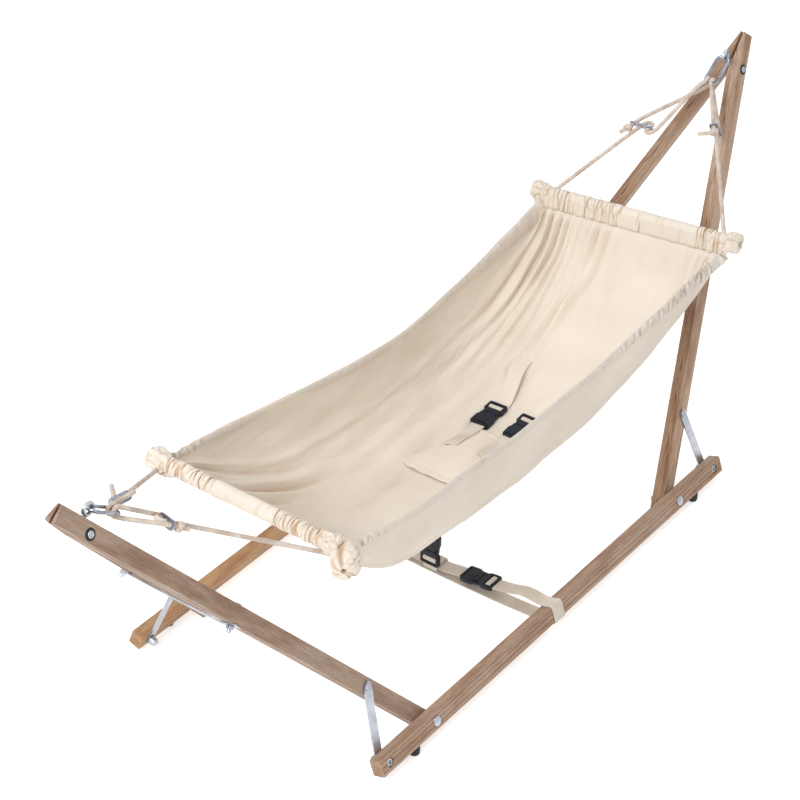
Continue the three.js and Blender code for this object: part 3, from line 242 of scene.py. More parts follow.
def surface(name, points, uv, wrap=False, ends=(False, False), crease_shade=None):
    """Mesh from a grid of points in mm, with its UV in mm: wrap closes the rows, ends fills the open ends.
    The last argument is a mask of painted shade for the folds: how deep in a fold each point lies, from 0 to
    1."""
    rows, columns = points.shape[:2]
    corners = [tuple(q) for q in (points.reshape(-1, 3) * MM)]
    faces, where = [], []
    for i in range(rows - 1):
        for j in range(columns if wrap else columns - 1):
            k = (j + 1) % columns
            faces.append((i * columns + j, i * columns + k, (i + 1) * columns + k, (i + 1) * columns + j))
            where += [uv[i, j], uv[i, j + 1], uv[i + 1, j + 1], uv[i + 1, j]]
    for at, row in enumerate((0, rows - 1)):
        if ends[at]:
            corners.append(tuple(points[row].mean(0) * MM))
            hub = len(corners) - 1
            for j in range(columns):
                a, b = row * columns + j, row * columns + (j + 1) % columns
                faces.append((hub, b, a) if at == 0 else (hub, a, b))
                where += [uv[row, j]] * 3
    mesh = bpy.data.meshes.new(name)
    mesh.from_pydata(corners, [], faces)
    layer = mesh.uv_layers.new(name="UVMap")
    layer.data.foreach_set("uv", np.array(where, dtype=np.float32).reshape(-1) * 0.01)
    # The fold mask is kept in the mesh, where the cloth's material paints shade with it
    if crease_shade is not None:
        depth = np.zeros(len(corners), dtype=np.float32)
        depth[:rows * columns] = np.clip(np.broadcast_to(crease_shade, (rows, columns)), 0, 1).reshape(-1)
        mesh.attributes.new("crease_shade", "FLOAT", "POINT").data.foreach_set("value", depth)
    mesh.polygons.foreach_set("use_smooth", [True] * len(mesh.polygons))
    mesh.update()
    return placed(name, mesh)


def round_run(name, path, radius, sides=16, run=None, shape=None):
    """Closed tube along a path. shape(s, angle) adds to its radius."""
    across, other = rings_along(path)
    if run is None:
        run = run_along(path)
    angle = circle(sides)
    size = np.full((len(path), sides), float(radius))
    if shape is not None:
        size += shape(run[:, None], angle[None, :])
    points = path[:, None, :] + size[..., None] * (np.cos(angle)[None, :, None] * across[:, None, :]
                                                   + np.sin(angle)[None, :, None] * other[:, None, :])
    return surface(name, points, grid_uv(np.append(angle, 2 * math.pi) * radius, run), wrap=True,
                   ends=(True, True))


def fit(made, material, slot, body, *stands_for):
    """Gives a piece its material, its body, and the CAD nodes it stands for; slot is not used."""
    made.data.materials.clear()
    made.data.materials.append(material)
    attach(made, body)
    if stands_for:
        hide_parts(*stands_for)
    return made


def started(name, values):
    """A new material with the plain values of its shader, and its tree."""
    made = bpy.data.materials.new(name)
    made.use_nodes = True
    for socket, value in values.items():
        made.node_tree.nodes["Principled BSDF"].inputs[socket].default_value = value
    return made, made.node_tree


def coat(tree, colour, height=None, relief=None, gloss=None):
    """Gives a shader its colour, its gloss, and relief of some strength and depth in metres."""
    shader = tree.nodes["Principled BSDF"]
    tree.links.new(colour.outputs[0], shader.inputs["Base Color"])
    if gloss:
        tree.links.new(gloss.outputs[0], shader.inputs["Roughness"])
    if relief:
        bump = add(tree, "Bump", {"Strength": relief[0], "Distance": relief[1], "Height": height})
        tree.links.new(bump.outputs[0], shader.inputs["Normal"])


# Braided cotton: small crossing strands, each about 1.6 mm wide, dull and slightly hairy.
cotton_cord, tree = started("braided_natural_cord", {"Roughness": 0.9, "Specular IOR Level": 0.2,
                                                     "Sheen Weight": 0.25, "Sheen Roughness": 0.5})
split = add(tree, "SeparateXYZ", {0: add(tree, "UVMap", uv_map="UVMap")})
# One UV unit is 100 mm, so strands that repeat every 3.4 mm have 29 waves to the unit
braid = []
for way in (0.9, -0.9):
    slant = add(tree, "Math", {0: split.outputs["X"], 1: way, 2: split.outputs["Y"]},
                operation="MULTIPLY_ADD")
    slant = add(tree, "Math", {0: slant, 1: 2 * math.pi * 29}, operation="MULTIPLY")
    braid.append(add(tree, "Math", {0: slant}, operation="SINE"))
weave = add(tree, "Math", {0: braid[0], 1: braid[1]}, operation="MAXIMUM")
rest = add(tree, "TexCoord").outputs["Object"]
fuzz = add(tree, "TexNoise", {"Scale": 900, "Detail": 3, "Vector": rest})
stain = add(tree, "TexNoise", {"Scale": 55, "Detail": 2, "Vector": rest})
# Painted shade: the grooves between the strands are darker
tone = add(tree, "ValToRGB", {0: weave}, ((0, "D3C2B4"), (0.75, "F2E7DC")))
patch = add(tree, "ValToRGB", {0: stain}, ((0.35, "DCCFC8"), (0.65, "FFFFFF")))
colour = add(tree, "MixRGB", {"Fac": 0.8, "Color1": tone, "Color2": patch}, blend_type="MULTIPLY")
height = add(tree, "Math", {0: fuzz, 1: 0.5, 2: weave}, operation="MULTIPLY_ADD")
coat(tree, colour, height, (0.6, 0.0005))

# share: how far along the cord its plate sits; turn and slant: how the plate lies; wrap: the end that the
# cord goes round; rise: how far it sits above the straight line; tail: where the knotted end points
CORDS = {
    "foot_left": {"end": "foot", "side": -1, "share": 0.83, "turn": 139, "slant": 0.62, "wrap": 1, "rise": 4,
                  "tail": (-18.7, -11.6)},
    "foot_right": {"end": "foot", "side": 1, "share": 0.78, "turn": 90, "slant": 0, "wrap": -1},
    "head_left": {"end": "head", "side": -1, "share": 0.58, "turn": 90, "slant": 0.62, "wrap": 1, "rise": 6},
    "head_right": {"end": "head", "side": 1, "share": 0.7, "turn": 180, "slant": 0, "wrap": 1,
                   "tail": (5, -25)},
}


def braid_shape(run, angle):
    """Low ridges of the braid, 3.4 mm apart along the cord."""
    k = 2 * math.pi / 3.4
    return 0.16 * np.sin(k * run + 6 * angle) * np.sin(k * run - 6 * angle)


for name, c in CORDS.items():
    end = ENDS[c["end"]]
    hole = end["bar"] + end["axis"] * (c["side"] * (end["half"] - end["cord_in"]))
    start = hole - Z * 16 if c["end"] == "foot" else hole
    target = end["hook"] + end["pull"] * HOOK_LENGTH + X * (c["side"] * 4.4)
    line = (target - start).normalized()
    m = X.cross(line).normalized()
    angle = math.radians(c["turn"])
    lie = (m * math.cos(angle) + line.cross(m) * math.sin(angle)).normalized()
    c["long"] = (lie + line * c["slant"]).normalized()
    c["wide"] = line.cross(lie).normalized()
    c["centre"] = start.lerp(target, c["share"]) + Z * c.get("rise", 0)
    loop = HOOK_WIRE_R + CORD_R + 0.9
    over = math.copysign(1, c["long"].dot(end["lift"]) * c["wrap"])

    def at_plate(a, b):
        return c["centre"] + c["long"] * (a * c["wrap"]) + line * b

    def at_hook(lift, out):
        return target + end["lift"] * (over * lift * loop) + end["pull"] * (out * loop)

    leaves = [hole + Z * 2, hole - Z * 6, hole - Z * 12, start + line * 1.5, start + line * 10]
    edge = PLATE_LENGTH / 2 + CORD_R + 1.2
    middle = (PLATE_PITCH + edge) / 2
    pitch = PLATE_PITCH
    route = (leaves if c["end"] == "foot" else [hole]) + [at_plate(a, b) for a, b in (
        (0, -24), (0, -8), (0, 0), (0, 4.5), (2, 8.6), (pitch / 2, 10.8), (pitch - 2, 8.6), (pitch, 4.5),
        (pitch, 0), (pitch, -4.5), (pitch + 1.6, -8.4), (middle, -10.2), (edge - 1.6, -8.4), (edge, -4),
        (edge, 3))]
    route += [at_hook(1, 0) - line * 12] + [at_hook(a, b) for a, b in (
        (0.98, 0.14), (0.72, -0.78), (0, -1.04), (-0.72, -0.78), (-0.98, 0.14))]
    if "tail" in c:
        tail = m * c["tail"][0] + line.cross(m) * c["tail"][1]
    else:
        tail = line * -13 - c["long"] * (3 * c["wrap"])
    behind = at_plate(-pitch, -12)
    route += [at_hook(-1, 0) - line * 12, at_plate(-pitch, 10), at_plate(-pitch, 0), behind,
              behind + tail * 0.5 - line, behind + tail]
    path, run = curve_through(route, 0.7)
    cord_piece = round_run("cord_" + name + "_braid", path, CORD_R, 24, run, braid_shape)
    fit(cord_piece, cotton_cord, "cord", "hammock", "cord_" + name)

    # The stopper knot: two turns of the same cord drawn tight round it below the plate
    knot_at = at_plate(-pitch, -11.5)
    turns = [knot_at + line * (5.2 * (t / 25 - 0.5)) + c["long"] * (4.6 * math.cos(t * 0.5))
             + c["wide"] * (4.6 * math.sin(t * 0.5)) for t in range(26)]
    path, run = curve_through(turns, 0.8)
    knot = round_run("cord_" + name + "_knot", path, 2.9, 20, run, braid_shape)
    fit(knot, cotton_cord, "cord", "hammock")


# Rails and legs: planed ash bars, 20.5 by 26 mm, oiled. Each bar has its own piece of grain: straight on
# the rails and on the outside of the legs, with cathedral figure on the rear legs. The foot legs' colours
# carry painted shade, and the rear legs' upper faces painted shadow of the bed.
def oiled_ash(name, origin, along, up, light, dark, pith, ring, sway, shade, taper=0.0, bed_shade=None):
    """Ash with its rings round a pith beside the bar; place in mm along, across and through the bar. taper is
    how fast the rings leave the pith's line, which draws arches on a flat sawn face; the last number is how
    strongly painted shadow of the bed browns the far half of the upper face."""
    made, tree = started(name, {"Roughness": 0.56, "Specular IOR Level": 0.35})
    turn = Matrix((along, up, along.cross(up))).transposed()
    place = add(tree, "Mapping", {"Location": origin * MM, "Rotation": turn.to_euler(), "Scale": (MM, MM, MM),
                                  "Vector": add(tree, "TexCoord").outputs["Object"]}, vector_type="TEXTURE")
    # Slow bends of the rings along the tree, small ripples, the open pores of the spring wood (fine dark
    # dashes 0.3 mm wide and a centimetre long) and clouds of oil
    grown = {}
    for kind, scale, detail, rough in (
            ("bend", (0.0065, 0.03, 0.03), 2, 0.4), ("ripple", (0.02, 0.35, 0.35), 2, 0.5),
            ("pores", (0.07, 2.1, 2.1), 3, 0.6), ("oil", (0.012, 0.06, 0.06), 2, 0.5)):
        drawn_out = add(tree, "Mapping", {"Scale": scale, "Vector": place})
        grown[kind] = add(tree, "TexNoise", {"Scale": 1, "Detail": detail, "Roughness": rough,
                                             "Vector": drawn_out})
    cut = add(tree, "VectorMath", {0: place, 1: (0, 1, 1), 2: (0, *pith)}, operation="MULTIPLY_ADD")
    radius = add(tree, "VectorMath", {0: cut}, operation="LENGTH").outputs["Value"]
    radius = add(tree, "Math", {0: grown["bend"], 1: sway, 2: radius}, operation="MULTIPLY_ADD")
    cone = add(tree, "VectorMath", {0: place, 1: (taper, 0, 0)}, operation="DOT_PRODUCT").outputs["Value"]
    radius = add(tree, "Math", {0: radius, 1: cone}, operation="ADD")
    radius = add(tree, "Math", {0: grown["ripple"], 1: 0.8, 2: radius}, operation="MULTIPLY_ADD")
    year = add(tree, "Math", {0: radius, 1: ring}, operation="DIVIDE")
    year = add(tree, "Math", {0: year}, operation="FRACT")
    colour = add(tree, "ValToRGB", {0: year}, ((0, dark), (1, dark), (0.3, light), (0.82, light)))
    colour.color_ramp.interpolation = "EASE"
    for kind, strength, stops in (("pores", 0.75, ((0.36, "C2B2A6"), (0.56, "FFFFFF"))),
                                  ("oil", 1, ((0.32, shade), (0.6, "FFFFFF")))):
        layer = add(tree, "ValToRGB", {0: grown[kind]}, stops)
        colour = add(tree, "MixRGB", {"Fac": strength, "Color1": colour, "Color2": layer},
                     blend_type="MULTIPLY")
    if bed_shade:
        # Painted shadow of the bed: a brown tint just under the upper face, mostly in the bar's lower half
        axes = add(tree, "SeparateXYZ", {0: place})
        low = add(tree, "MapRange", {"Value": axes.outputs["X"], "From Min": 430, "From Max": 540,
                                     "To Min": 0.8, "To Max": bed_shade})
        skin = add(tree, "MapRange", {"Value": axes.outputs["Y"], "From Min": 1 - BAR_B / 2,
                                      "From Max": 0.3 - BAR_B / 2})
        bed_shadow = add(tree, "Math", {0: low, 1: skin}, operation="MULTIPLY")
        colour = add(tree, "MixRGB", {"Fac": bed_shadow, "Color1": colour, "Color2": linear("CCBCAC")},
                     blend_type="MULTIPLY")
    coat(tree, colour, grown["pores"], (0.35, 0.0003))
    return made


def softened(made, width, steps, degrees=30):
    """Turns the sharp edges of a piece to a small round, width in mm."""
    soft = made.modifiers.new("soft_edges", "BEVEL")
    soft.width, soft.segments, soft.limit_method = width * MM, steps, "ANGLE"
    soft.angle_limit = math.radians(degrees)
    return made


def eased(name, node, width, material, slot, body, steps=2):
    """Copy of a CAD piece with its sharp edges eased, standing for that piece."""
    made = softened(placed(name, cad[node].data.copy()), width, steps, 35)
    made.data.polygons.foreach_set("use_smooth", [False] * len(made.data.polygons))
    return fit(made, material, slot, body, node)


def mirrored(v, sx, sy):
    return Vector((v.x * sx, v.y * sy, v.z))


SIDES = (("left", -1), ("right", 1))
BOTH_ENDS = (("foot", -1), ("head", 1))
for side, sx in SIDES:
    # Light and dark of the rings, place of the pith, ring width, bend, oil shade, taper, painted shadow of
    # the bed
    rings = ("CCA67F", "98775A") if side == "left" else ("BDA48F", "8F7663")
    wood = oiled_ash("oiled_ash_rail_" + side, mirrored(in_frame(0, 0, 0), sx, 1), Y,
                     mirrored(up_plane, sx, 1), *rings, (31 + 4 * sx, -90), 3.0, 3, "DFCDBE")
    eased("rail_" + side + "_bar", "rail_" + side, 0.9, wood, "ash", "stand")
    # Painted shade: the foot legs' ring colours are darker and greyer than the head legs'
    figure_and_shade = {"foot": ("B8A08E", "918070", (120, 18 * sx), 2.9, 3.4, "D6C6BA"),
              "head": ("D2B9A3", "9A7B63", (BAR_B / 2 + 4, 1.5 * sx), 2.7, 6, "CDB9AA", 0.035,
                       0.1 if side == "right" else 0.6)}
    for name, sy in BOTH_ENDS:
        wood = oiled_ash("oiled_ash_leg_" + name + "_" + side, mirrored(leg_pivot, sx, sy),
                         mirrored(leg_along, sx, sy), mirrored(leg_under, sx, sy), *figure_and_shade[name])
        eased("leg_" + name + "_" + side + "_bar", "leg_" + name + "_" + side, 0.9, wood, "ash", "stand")


# Steel fittings: folding braces, cross strips, barrel bolts with domed caps and sunk hex sockets. All are
# pressed or turned mild steel, zinc plated, so they are bright with a faint blue, cloudy bloom.
def clouded(name, values, scale, detail, stops, gloss=None, relief=None, grain=None):
    """Material whose colour and gloss drift with one noise, scale waves to the metre. Its relief follows the
    same noise, or another one with grain waves to the metre along each axis."""
    made, tree = started(name, values)
    rest = add(tree, "TexCoord").outputs["Object"]
    drift = height = add(tree, "TexNoise", {"Scale": scale, "Detail": detail, "Vector": rest})
    if grain:
        stretched = add(tree, "Mapping", {"Scale": grain, "Vector": rest})
        height = add(tree, "TexNoise", {"Scale": 1, "Detail": 2, "Vector": stretched})
    if gloss:
        gloss = add(tree, "MapRange", {"To Min": gloss[0], "To Max": gloss[1], "Value": drift})
    coat(tree, add(tree, "ValToRGB", {0: drift}, stops), height, relief, gloss)
    return made


# Rolling marks in the strip are drawn 0.4 mm apart so that they show
zinc = clouded("bright_zinc_plated_steel", {"Metallic": 1}, 60, 2, ((0.3, "9EA4AF"), (0.7, "C3C6CC")),
               (0.24, 0.42), (0.15, 0.0002), (2500, 60, 2500))


def crisped(made, degrees):
    """Keeps edges sharper than so many degrees crisp."""
    made.modifiers.new("crisp_edges", "EDGE_SPLIT").split_angle = math.radians(degrees)
    return made


def turned_piece(name, profile, origin, axis, segments=40, sides=None):
    """Body of revolution round an axis: profile lists (radius, distance along the axis) in mm. It is
    hexagonal between the two distances in sides."""
    axis = Vector(axis).normalized()
    a = axis.orthogonal().normalized()
    b = axis.cross(a)
    angle = circle(segments)
    rows = []
    for r, d in profile:
        size = np.full(segments, float(r))
        if sides is not None and sides[0] <= d <= sides[1]:
            wedge = 2 * math.pi / 6
            size = r * math.cos(wedge / 2) / np.cos((angle + wedge / 2) % wedge - wedge / 2)
        rows.append([list(origin + axis * d + a * (s * math.cos(t)) + b * (s * math.sin(t)))
                     for s, t in zip(size, angle)])
    uv = grid_uv(np.append(angle, 2 * math.pi) * 5, np.arange(len(profile)) * 2.0)
    return crisped(surface(name, np.array(rows), uv, wrap=True, ends=(True, True)), 32)


def rounded(profile, corner=0.5, steps=3):
    """The same profile with its corners turned to small arcs."""
    out = [profile[0]]
    for before, at, after in zip(profile, profile[1:], profile[2:]):
        p, q, r = (np.array(v, float) for v in (before, at, after))
        into, away = q - p, r - q
        c = min(corner, np.linalg.norm(into) / 2.2, np.linalg.norm(away) / 2.2)
        a, b = q - unit(into) * c, q + unit(away) * c
        for t in np.linspace(0, 1, steps + 1):
            out.append(tuple((1 - t) ** 2 * a + 2 * t * (1 - t) * q + t * t * b))
    return out + [profile[-1]]


half_bar = BAR_T / 2
inner_face = -half_bar - LEG_GAP
BRACE_ON_RAIL, BRACE_ON_LEG, STRAP_ON_LEG = 431, 138.6, 418


def seen_from(start, steps):
    """Profile points whose distances are counted from one face."""
    return [(r, start + d) for r, d in steps]


pivot_profile = rounded(
    seen_from(inner_face - BAR_T, [(0.01, -10), (3.6, -8.8), (5, -6), (5, -2.2), (7.5, -2.2), (7.5, -0.3),
                                   (3, -0.3)])
    + seen_from(inner_face, [(3, 0.3), (8, 0.3)]) + seen_from(-half_bar, [(8, -0.3), (3, -0.3)])
    + seen_from(half_bar, [(3, 0.3), (7.6, 0.3), (7.4, 1.6), (4, 3.6), (0.01, 4)]))
sunk_cap = seen_from(half_bar - 7, [(3.0, 0.3), (6.2, 0.3), (6.2, 4.3), (5.3, 5.2), (3.1, 5.2), (2.9, 2.4),
                                    (0.01, 2.2)])
brace_profile = rounded(seen_from(inner_face, [(0.01, -12), (4, -10.8), (6.4, -7.5), (6.4, -1.8), (7.6, -1.8),
                                               (7.6, 0), (3, 0)])) + rounded(sunk_cap)
screw_profile = rounded([(0.01, -13), (2.5, -12), (2.5, 0.3), (6, 0.3), (5.4, 2), (3.2, 2.9), (2.2, 2.9),
                         (2.0, 1.6), (0.01, 1.5)])
strap_low = BAR_B / 2 + 2.2
strap_profile = rounded(
    seen_from(-BAR_B / 2, [(0.01, -3.3), (4, -2.9), (6, -1.3), (6, -0.3), (3, -0.3)])
    + seen_from(strap_low, [(3, 0), (5.2, 0), (5.2, 4.5), (3, 4.5), (3, 9), (0.01, 9.6)]), 0.4)
for side, sx in SIDES:
    for name, sy in BOTH_ENDS:
        corner = name + "_" + side
        for kind, profile, origin, axis, sides in (
                ("leg_bolt", pivot_profile, in_frame(PIVOT_AT, 0, 0), out_plane, None),
                ("brace_bolt", brace_profile, in_frame(BRACE_ON_RAIL, 0, 0), out_plane, None),
                ("brace_screw", screw_profile,
                 leg_pivot + leg_along * BRACE_ON_LEG + out_plane * (half_bar + 2.8), out_plane, None),
                ("strap_bolt", strap_profile, leg_pivot + leg_along * STRAP_ON_LEG, leg_under,
                 (strap_low - 0.1, strap_low + 4.6))):
            made = turned_piece(kind + "_" + corner + "_turned", profile, mirrored(origin, sx, sy),
                                mirrored(axis, sx, sy), sides=sides)
            fit(made, zinc, "zinc_steel", "stand", kind + "_" + corner)
        eased("brace_" + corner + "_strip", "brace_" + corner, 0.4, zinc, "zinc_steel", "stand")


def on_apex_face(end, side):
    """Where an apex bolt leaves the outer face of a leg, and the way that this face looks."""
    sx, sy = dict(SIDES)[side], dict(BOTH_ENDS)[end]
    middle = ENDS[end]["apex"]
    to_face = half_bar - (mirrored(middle, 1, sy) - leg_pivot).dot(out_plane)
    return middle + X * (sx * to_face / out_plane.x), mirrored(out_plane, sx, sy)


cap_profile = rounded([(0.01, 0.2), (5, 0.2), (5, 1.6), (4.2, 2.4), (2.8, 2.4), (2.6, 0.9), (0.01, 0.8)])
for name, _ in BOTH_ENDS:
    eased("cross_strap_" + name + "_strip", "cross_strap_" + name, 0.3, zinc, "zinc_steel", "stand")
    made = turned_piece("apex_bolt_" + name + "_shank", [(0.01, -14), (3.0, -14), (3.0, 14), (0.01, 14)],
                        ENDS[name]["apex"], X)
    fit(made, zinc, "zinc_steel", "stand", "apex_bolt_" + name)
    # Its caps sit square on the outer faces of the two bars
    for side, _ in SIDES:
        made = turned_piece("apex_bolt_" + name + "_cap_" + side, cap_profile, *on_apex_face(name, side))
        fit(made, zinc, "zinc_steel", "stand", "apex_bolt_" + name)


# Rubber feet and shade rings: four black rubber buttons are pushed into the undersides of the rails, and a
# thin black rubber disc under each cap of the apex bolts is painted shade, for the shaded sunk hole round the
# cap.
# The mould gives rubber a fine pebbled skin, so it stays dull and nearly black.
rubber = clouded("black_moulded_rubber", {"Roughness": 0.78}, 700, 2, ((0, "131313"), (1, "2A2A2B")),
                 relief=(0.3, 0.0003))
for node in ("foot_pad_foot_left", "foot_pad_head_left", "foot_pad_foot_right", "foot_pad_head_right"):
    eased(node + "_button", node, 0.7, rubber, "rubber", "stand", 3)
# Painted shade: a black disc wider than the cap, for the shaded sunk hole round it
shade_ring_profile = rounded([(0.01, 0.05), (8.3, 0.05), (8.3, 0.6), (0.01, 0.6)])
for name, _ in BOTH_ENDS:
    for side, _ in SIDES:
        made = turned_piece("apex_washer_" + name + "_" + side, shade_ring_profile, *on_apex_face(name, side))
        fit(made, rubber, "rubber", "stand")


# Eyes: at each apex a pressed steel tang on the bolt ends in a welded ring of 5.6 mm wire. Both are zinc
# plated like the other fittings, and a hook hangs in the ring.
RING_R, RING_WIRE_R = 8, 2.8
for name, end in ENDS.items():
    side_way = end["eye_out"].cross(X).normalized()
    path = np.array([list(end["ring"] + side_way * (RING_R * math.cos(t))
                          + end["eye_out"] * (RING_R * math.sin(t)))
                     for t in np.linspace(-math.pi / 2, 1.5 * math.pi, 49)])
    ring = round_run("eye_" + name + "_ring", path, RING_WIRE_R, 20)
    fit(ring, zinc, "zinc_steel", "stand", "eye_" + name)
    outline = [(-6.5 * math.cos(t), -6.5 * math.sin(t)) for t in np.linspace(0, math.pi, 17)]
    outline += [(6.2, 4), (5, end["reach"] - 9), (4, end["reach"] - 6.5), (-4, end["reach"] - 6.5),
                (-5, end["reach"] - 9), (-6.2, 4)]
    points = np.array([[list(end["apex"] + side_way * (a * (1 - inset / 6))
                             + end["eye_out"] * (b - inset * b / 20) + X * depth) for a, b in outline]
                       for inset, depth in ((0.5, -1.5), (0, -1.1), (0, 1.1), (0.5, 1.5))])
    uv = grid_uv(np.arange(len(outline) + 1) * 2.0, np.arange(4) * 2.0)
    tang = crisped(surface("eye_" + name + "_tang", points, uv, wrap=True, ends=(True, True)), 30)
    fit(tang, zinc, "zinc_steel", "stand")


# Spring hooks: one bent steel wire, 5.2 mm thick and zinc plated, hangs in each eye and takes the two cords
# of its end. A straight spring gate closes it on one side.
# The wire is drawn smooth under thin zinc, so long bright streaks run along it.
hook_wire = clouded("bright_bent_wire", {"Metallic": 1}, 60, 2, ((0.3, "868B96"), (0.7, "ADB1BB")),
                    (0.2, 0.28))
w = 10.5  # half the width of a hook
for name, end in ENDS.items():
    def on_hook(s, x):
        return end["hook"] + end["pull"] * s + X * x

    bends = [(13, w), (9, w * 0.98), (4.2, w * 0.82), (1.1, w * 0.45), (0, 0), (1.1, -w * 0.45),
             (4.2, -w * 0.82), (9, -w * 0.98), (20, -w), (34, -w), (HOOK_LENGTH - 7, -w),
             (HOOK_LENGTH - 2, -w * 0.82), (HOOK_LENGTH, -w * 0.45), (HOOK_LENGTH, 0),
             (HOOK_LENGTH, w * 0.45), (HOOK_LENGTH - 2, w * 0.82), (HOOK_LENGTH - 7, w), (41.5, w)]
    path, run = curve_through([on_hook(s, x) for s, x in bends], 0.8)
    made = round_run("hook_" + name + "_wire", path, HOOK_WIRE_R, 20, run)
    fit(made, hook_wire, "hook_steel", "hammock", "hook_" + name)
    gate_from, gate_to = on_hook(13.3, w), on_hook(41.2, w)
    length = (gate_to - gate_from).length
    r = HOOK_WIRE_R * 0.92
    profile = rounded([(0.01, 0), (0.9, 0), (r, 1.2), (r, length - 5), (r - 0.5, length - 4.4),
                       (r - 0.5, length - 3.4), (r, length - 2.8), (r, length - 1.2), (0.9, length),
                       (0.01, length)], 0.3)
    made = turned_piece("hook_gate_" + name + "_pin", profile, gate_from, gate_to - gate_from, 28)
    fit(made, hook_wire, "hook_steel", "gate_" + name, "hook_gate_" + name)


# Cord adjusters: 2.5 mm aluminium plates with three holes, punched and tumbled smooth. Each cord goes
# through one, up and back, so that the plate grips it.
# Tumbling leaves many small dents, which blur what the metal mirrors.
tumbled = clouded("tumbled_aluminium_plate", {"Metallic": 1}, 420, 4, ((0.3, "727A88"), (0.7, "A7AEBA")),
                  (0.3, 0.46), (0.25, 0.0003))
for name in CORDS:
    eased("cord_adjuster_" + name + "_plate", "cord_adjuster_" + name, 0.6, tumbled, "adjuster_aluminium",
          "hammock", 3)


# Spreader bars: turned light wood dowels, 16 mm, pushed through the casings of the cloth. They show only
# inside its gathered ends.
dowel = oiled_ash("turned_dowel", Vector((0, 0, 380)), X, Z, "DCC49C", "B9986C", (40, 12), 2.2, 3, "DFCDB4")
for name in ENDS:
    eased("spreader_bar_" + name + "_dowel", "spreader_bar_" + name, 0.8, dowel, "dowel", "hammock")


# Hammock bed: one piece of undyed cotton canvas, plain woven. It hangs in a deep trough from the two bars,
# with long folds that start where the casing is gathered.
def woven(name, light, dark, crease_shade):
    """Plain weave with its threads 0.9 mm apart. The last colour is painted shade, laid into the bottom of
    each crease by the fold mask that the mesh carries."""
    made, tree = started(name, {"Roughness": 0.93, "Specular IOR Level": 0.12, "Sheen Weight": 0.18,
                                "Sheen Roughness": 0.6})
    place = add(tree, "UVMap", uv_map="UVMap")
    split = add(tree, "SeparateXYZ", {0: place})
    threads, slubs = [], []
    # One UV unit is 100 mm, and a wave that is turned all upward makes two threads
    for way in ("X", "Y"):
        wave = add(tree, "Math", {0: split.outputs[way], 1: 2 * math.pi * 100 / 0.9 / 2},
                   operation="MULTIPLY")
        wave = add(tree, "Math", {0: wave}, operation="SINE")
        threads.append(add(tree, "Math", {0: wave}, operation="ABSOLUTE"))
    weave = add(tree, "Math", {0: threads[0], 1: threads[1]}, operation="MULTIPLY")
    # Slubs: thicker threads that run a few centimetres each way, 1 mm wide
    for scale in ((120, 4, 1), (4, 120, 1)):
        run = add(tree, "Mapping", {"Scale": scale, "Vector": place})
        slubs.append(add(tree, "TexNoise", {"Scale": 1, "Detail": 2, "Vector": run}))
    slub = add(tree, "Math", {0: slubs[0], 1: slubs[1]}, operation="MULTIPLY")
    rest = add(tree, "TexCoord").outputs["Object"]
    cloud = add(tree, "TexNoise", {"Scale": 9, "Detail": 3, "Vector": rest})
    colour = add(tree, "ValToRGB", {0: cloud}, ((0.35, dark), (0.65, light)))
    thread = add(tree, "MapRange", {"From Min": 0.12, "From Max": 0.42, "To Min": 0.9, "Value": slub})
    shade = add(tree, "MapRange", {"To Min": 0.94, "Value": weave})
    # Painted shade in the bottoms of the folds, from the mask that the mesh carries
    deep = add(tree, "Attribute", attribute_name="crease_shade").outputs["Fac"]
    deep = add(tree, "Math", {0: deep, 1: 0.9}, operation="MULTIPLY")
    for strength, layer in ((0.5, thread), (1, shade), (deep, linear(crease_shade))):
        colour = add(tree, "MixRGB", {"Fac": strength, "Color1": colour, "Color2": layer},
                     blend_type="MULTIPLY")
    height = add(tree, "Math", {0: slub, 1: 1.6, 2: weave}, operation="MULTIPLY_ADD")
    coat(tree, colour, height, (0.35, 0.0004))
    return made


# Cotton as it comes from the loom: warm white, with thicker threads here and there; its tan last colour is
# painted shade for the creases
canvas = woven("undyed_cotton_canvas", "F9EFE2", "F2E7D8", "CDB192")

BED_LENGTH = ENDS["head"]["bar"].y - ENDS["foot"]["bar"].y
SLEEVE_MID = 9.45
SECTION_POWER = 3.2
# At shares of the way from foot bar to head bar, in mm: half the width between the rims, the height of the
# rims, and the depth of the trough below them
RIM_X = [(0, 157), (0.07, 159), (0.16, 160), (0.31, 152), (0.46, 145), (0.57, 143), (0.68, 149), (0.8, 154),
         (0.92, 160), (1, 166)]
RIM_END = {"foot": RIM_X[0][1], "head": RIM_X[-1][1]}
RIM_Z = [(0, 381 - SLEEVE_MID), (0.07, 366), (0.16, 353), (0.31, 335), (0.46, 319), (0.57, 317), (0.68, 325),
         (0.8, 341), (0.92, 360), (1, 375 - SLEEVE_MID)]
DEPTH = [(0, 0.5), (0.06, 50), (0.13, 104), (0.23, 142), (0.35, 155), (0.48, 158), (0.6, 161),
         (0.72, 158), (0.84, 139), (0.93, 96), (0.975, 56), (1, 0.5)]


def between(table, at):
    """Smooth value between listed stations."""
    xs, ys = (np.array(v, float) for v in zip(*table))
    slope = np.empty_like(xs)
    slope[1:-1] = (ys[2:] - ys[:-2]) / (xs[2:] - xs[:-2])
    slope[0], slope[-1] = (ys[1] - ys[0]) / (xs[1] - xs[0]), (ys[-1] - ys[-2]) / (xs[-1] - xs[-2])
    at = np.clip(np.asarray(at, float), xs[0], xs[-1])
    i = np.clip(np.searchsorted(xs, at, side="right") - 1, 0, len(xs) - 2)
    h = xs[i + 1] - xs[i]
    t = (at - xs[i]) / h
    return ((2 * t ** 3 - 3 * t ** 2 + 1) * ys[i] + (t ** 3 - 2 * t ** 2 + t) * h * slope[i]
            + (-2 * t ** 3 + 3 * t ** 2) * ys[i + 1] + (t ** 3 - t ** 2) * h * slope[i + 1])


def ease(a, b, t):
    t = np.clip((np.asarray(t, float) - a) / (b - a), 0, 1)
    return t * t * (3 - 2 * t)


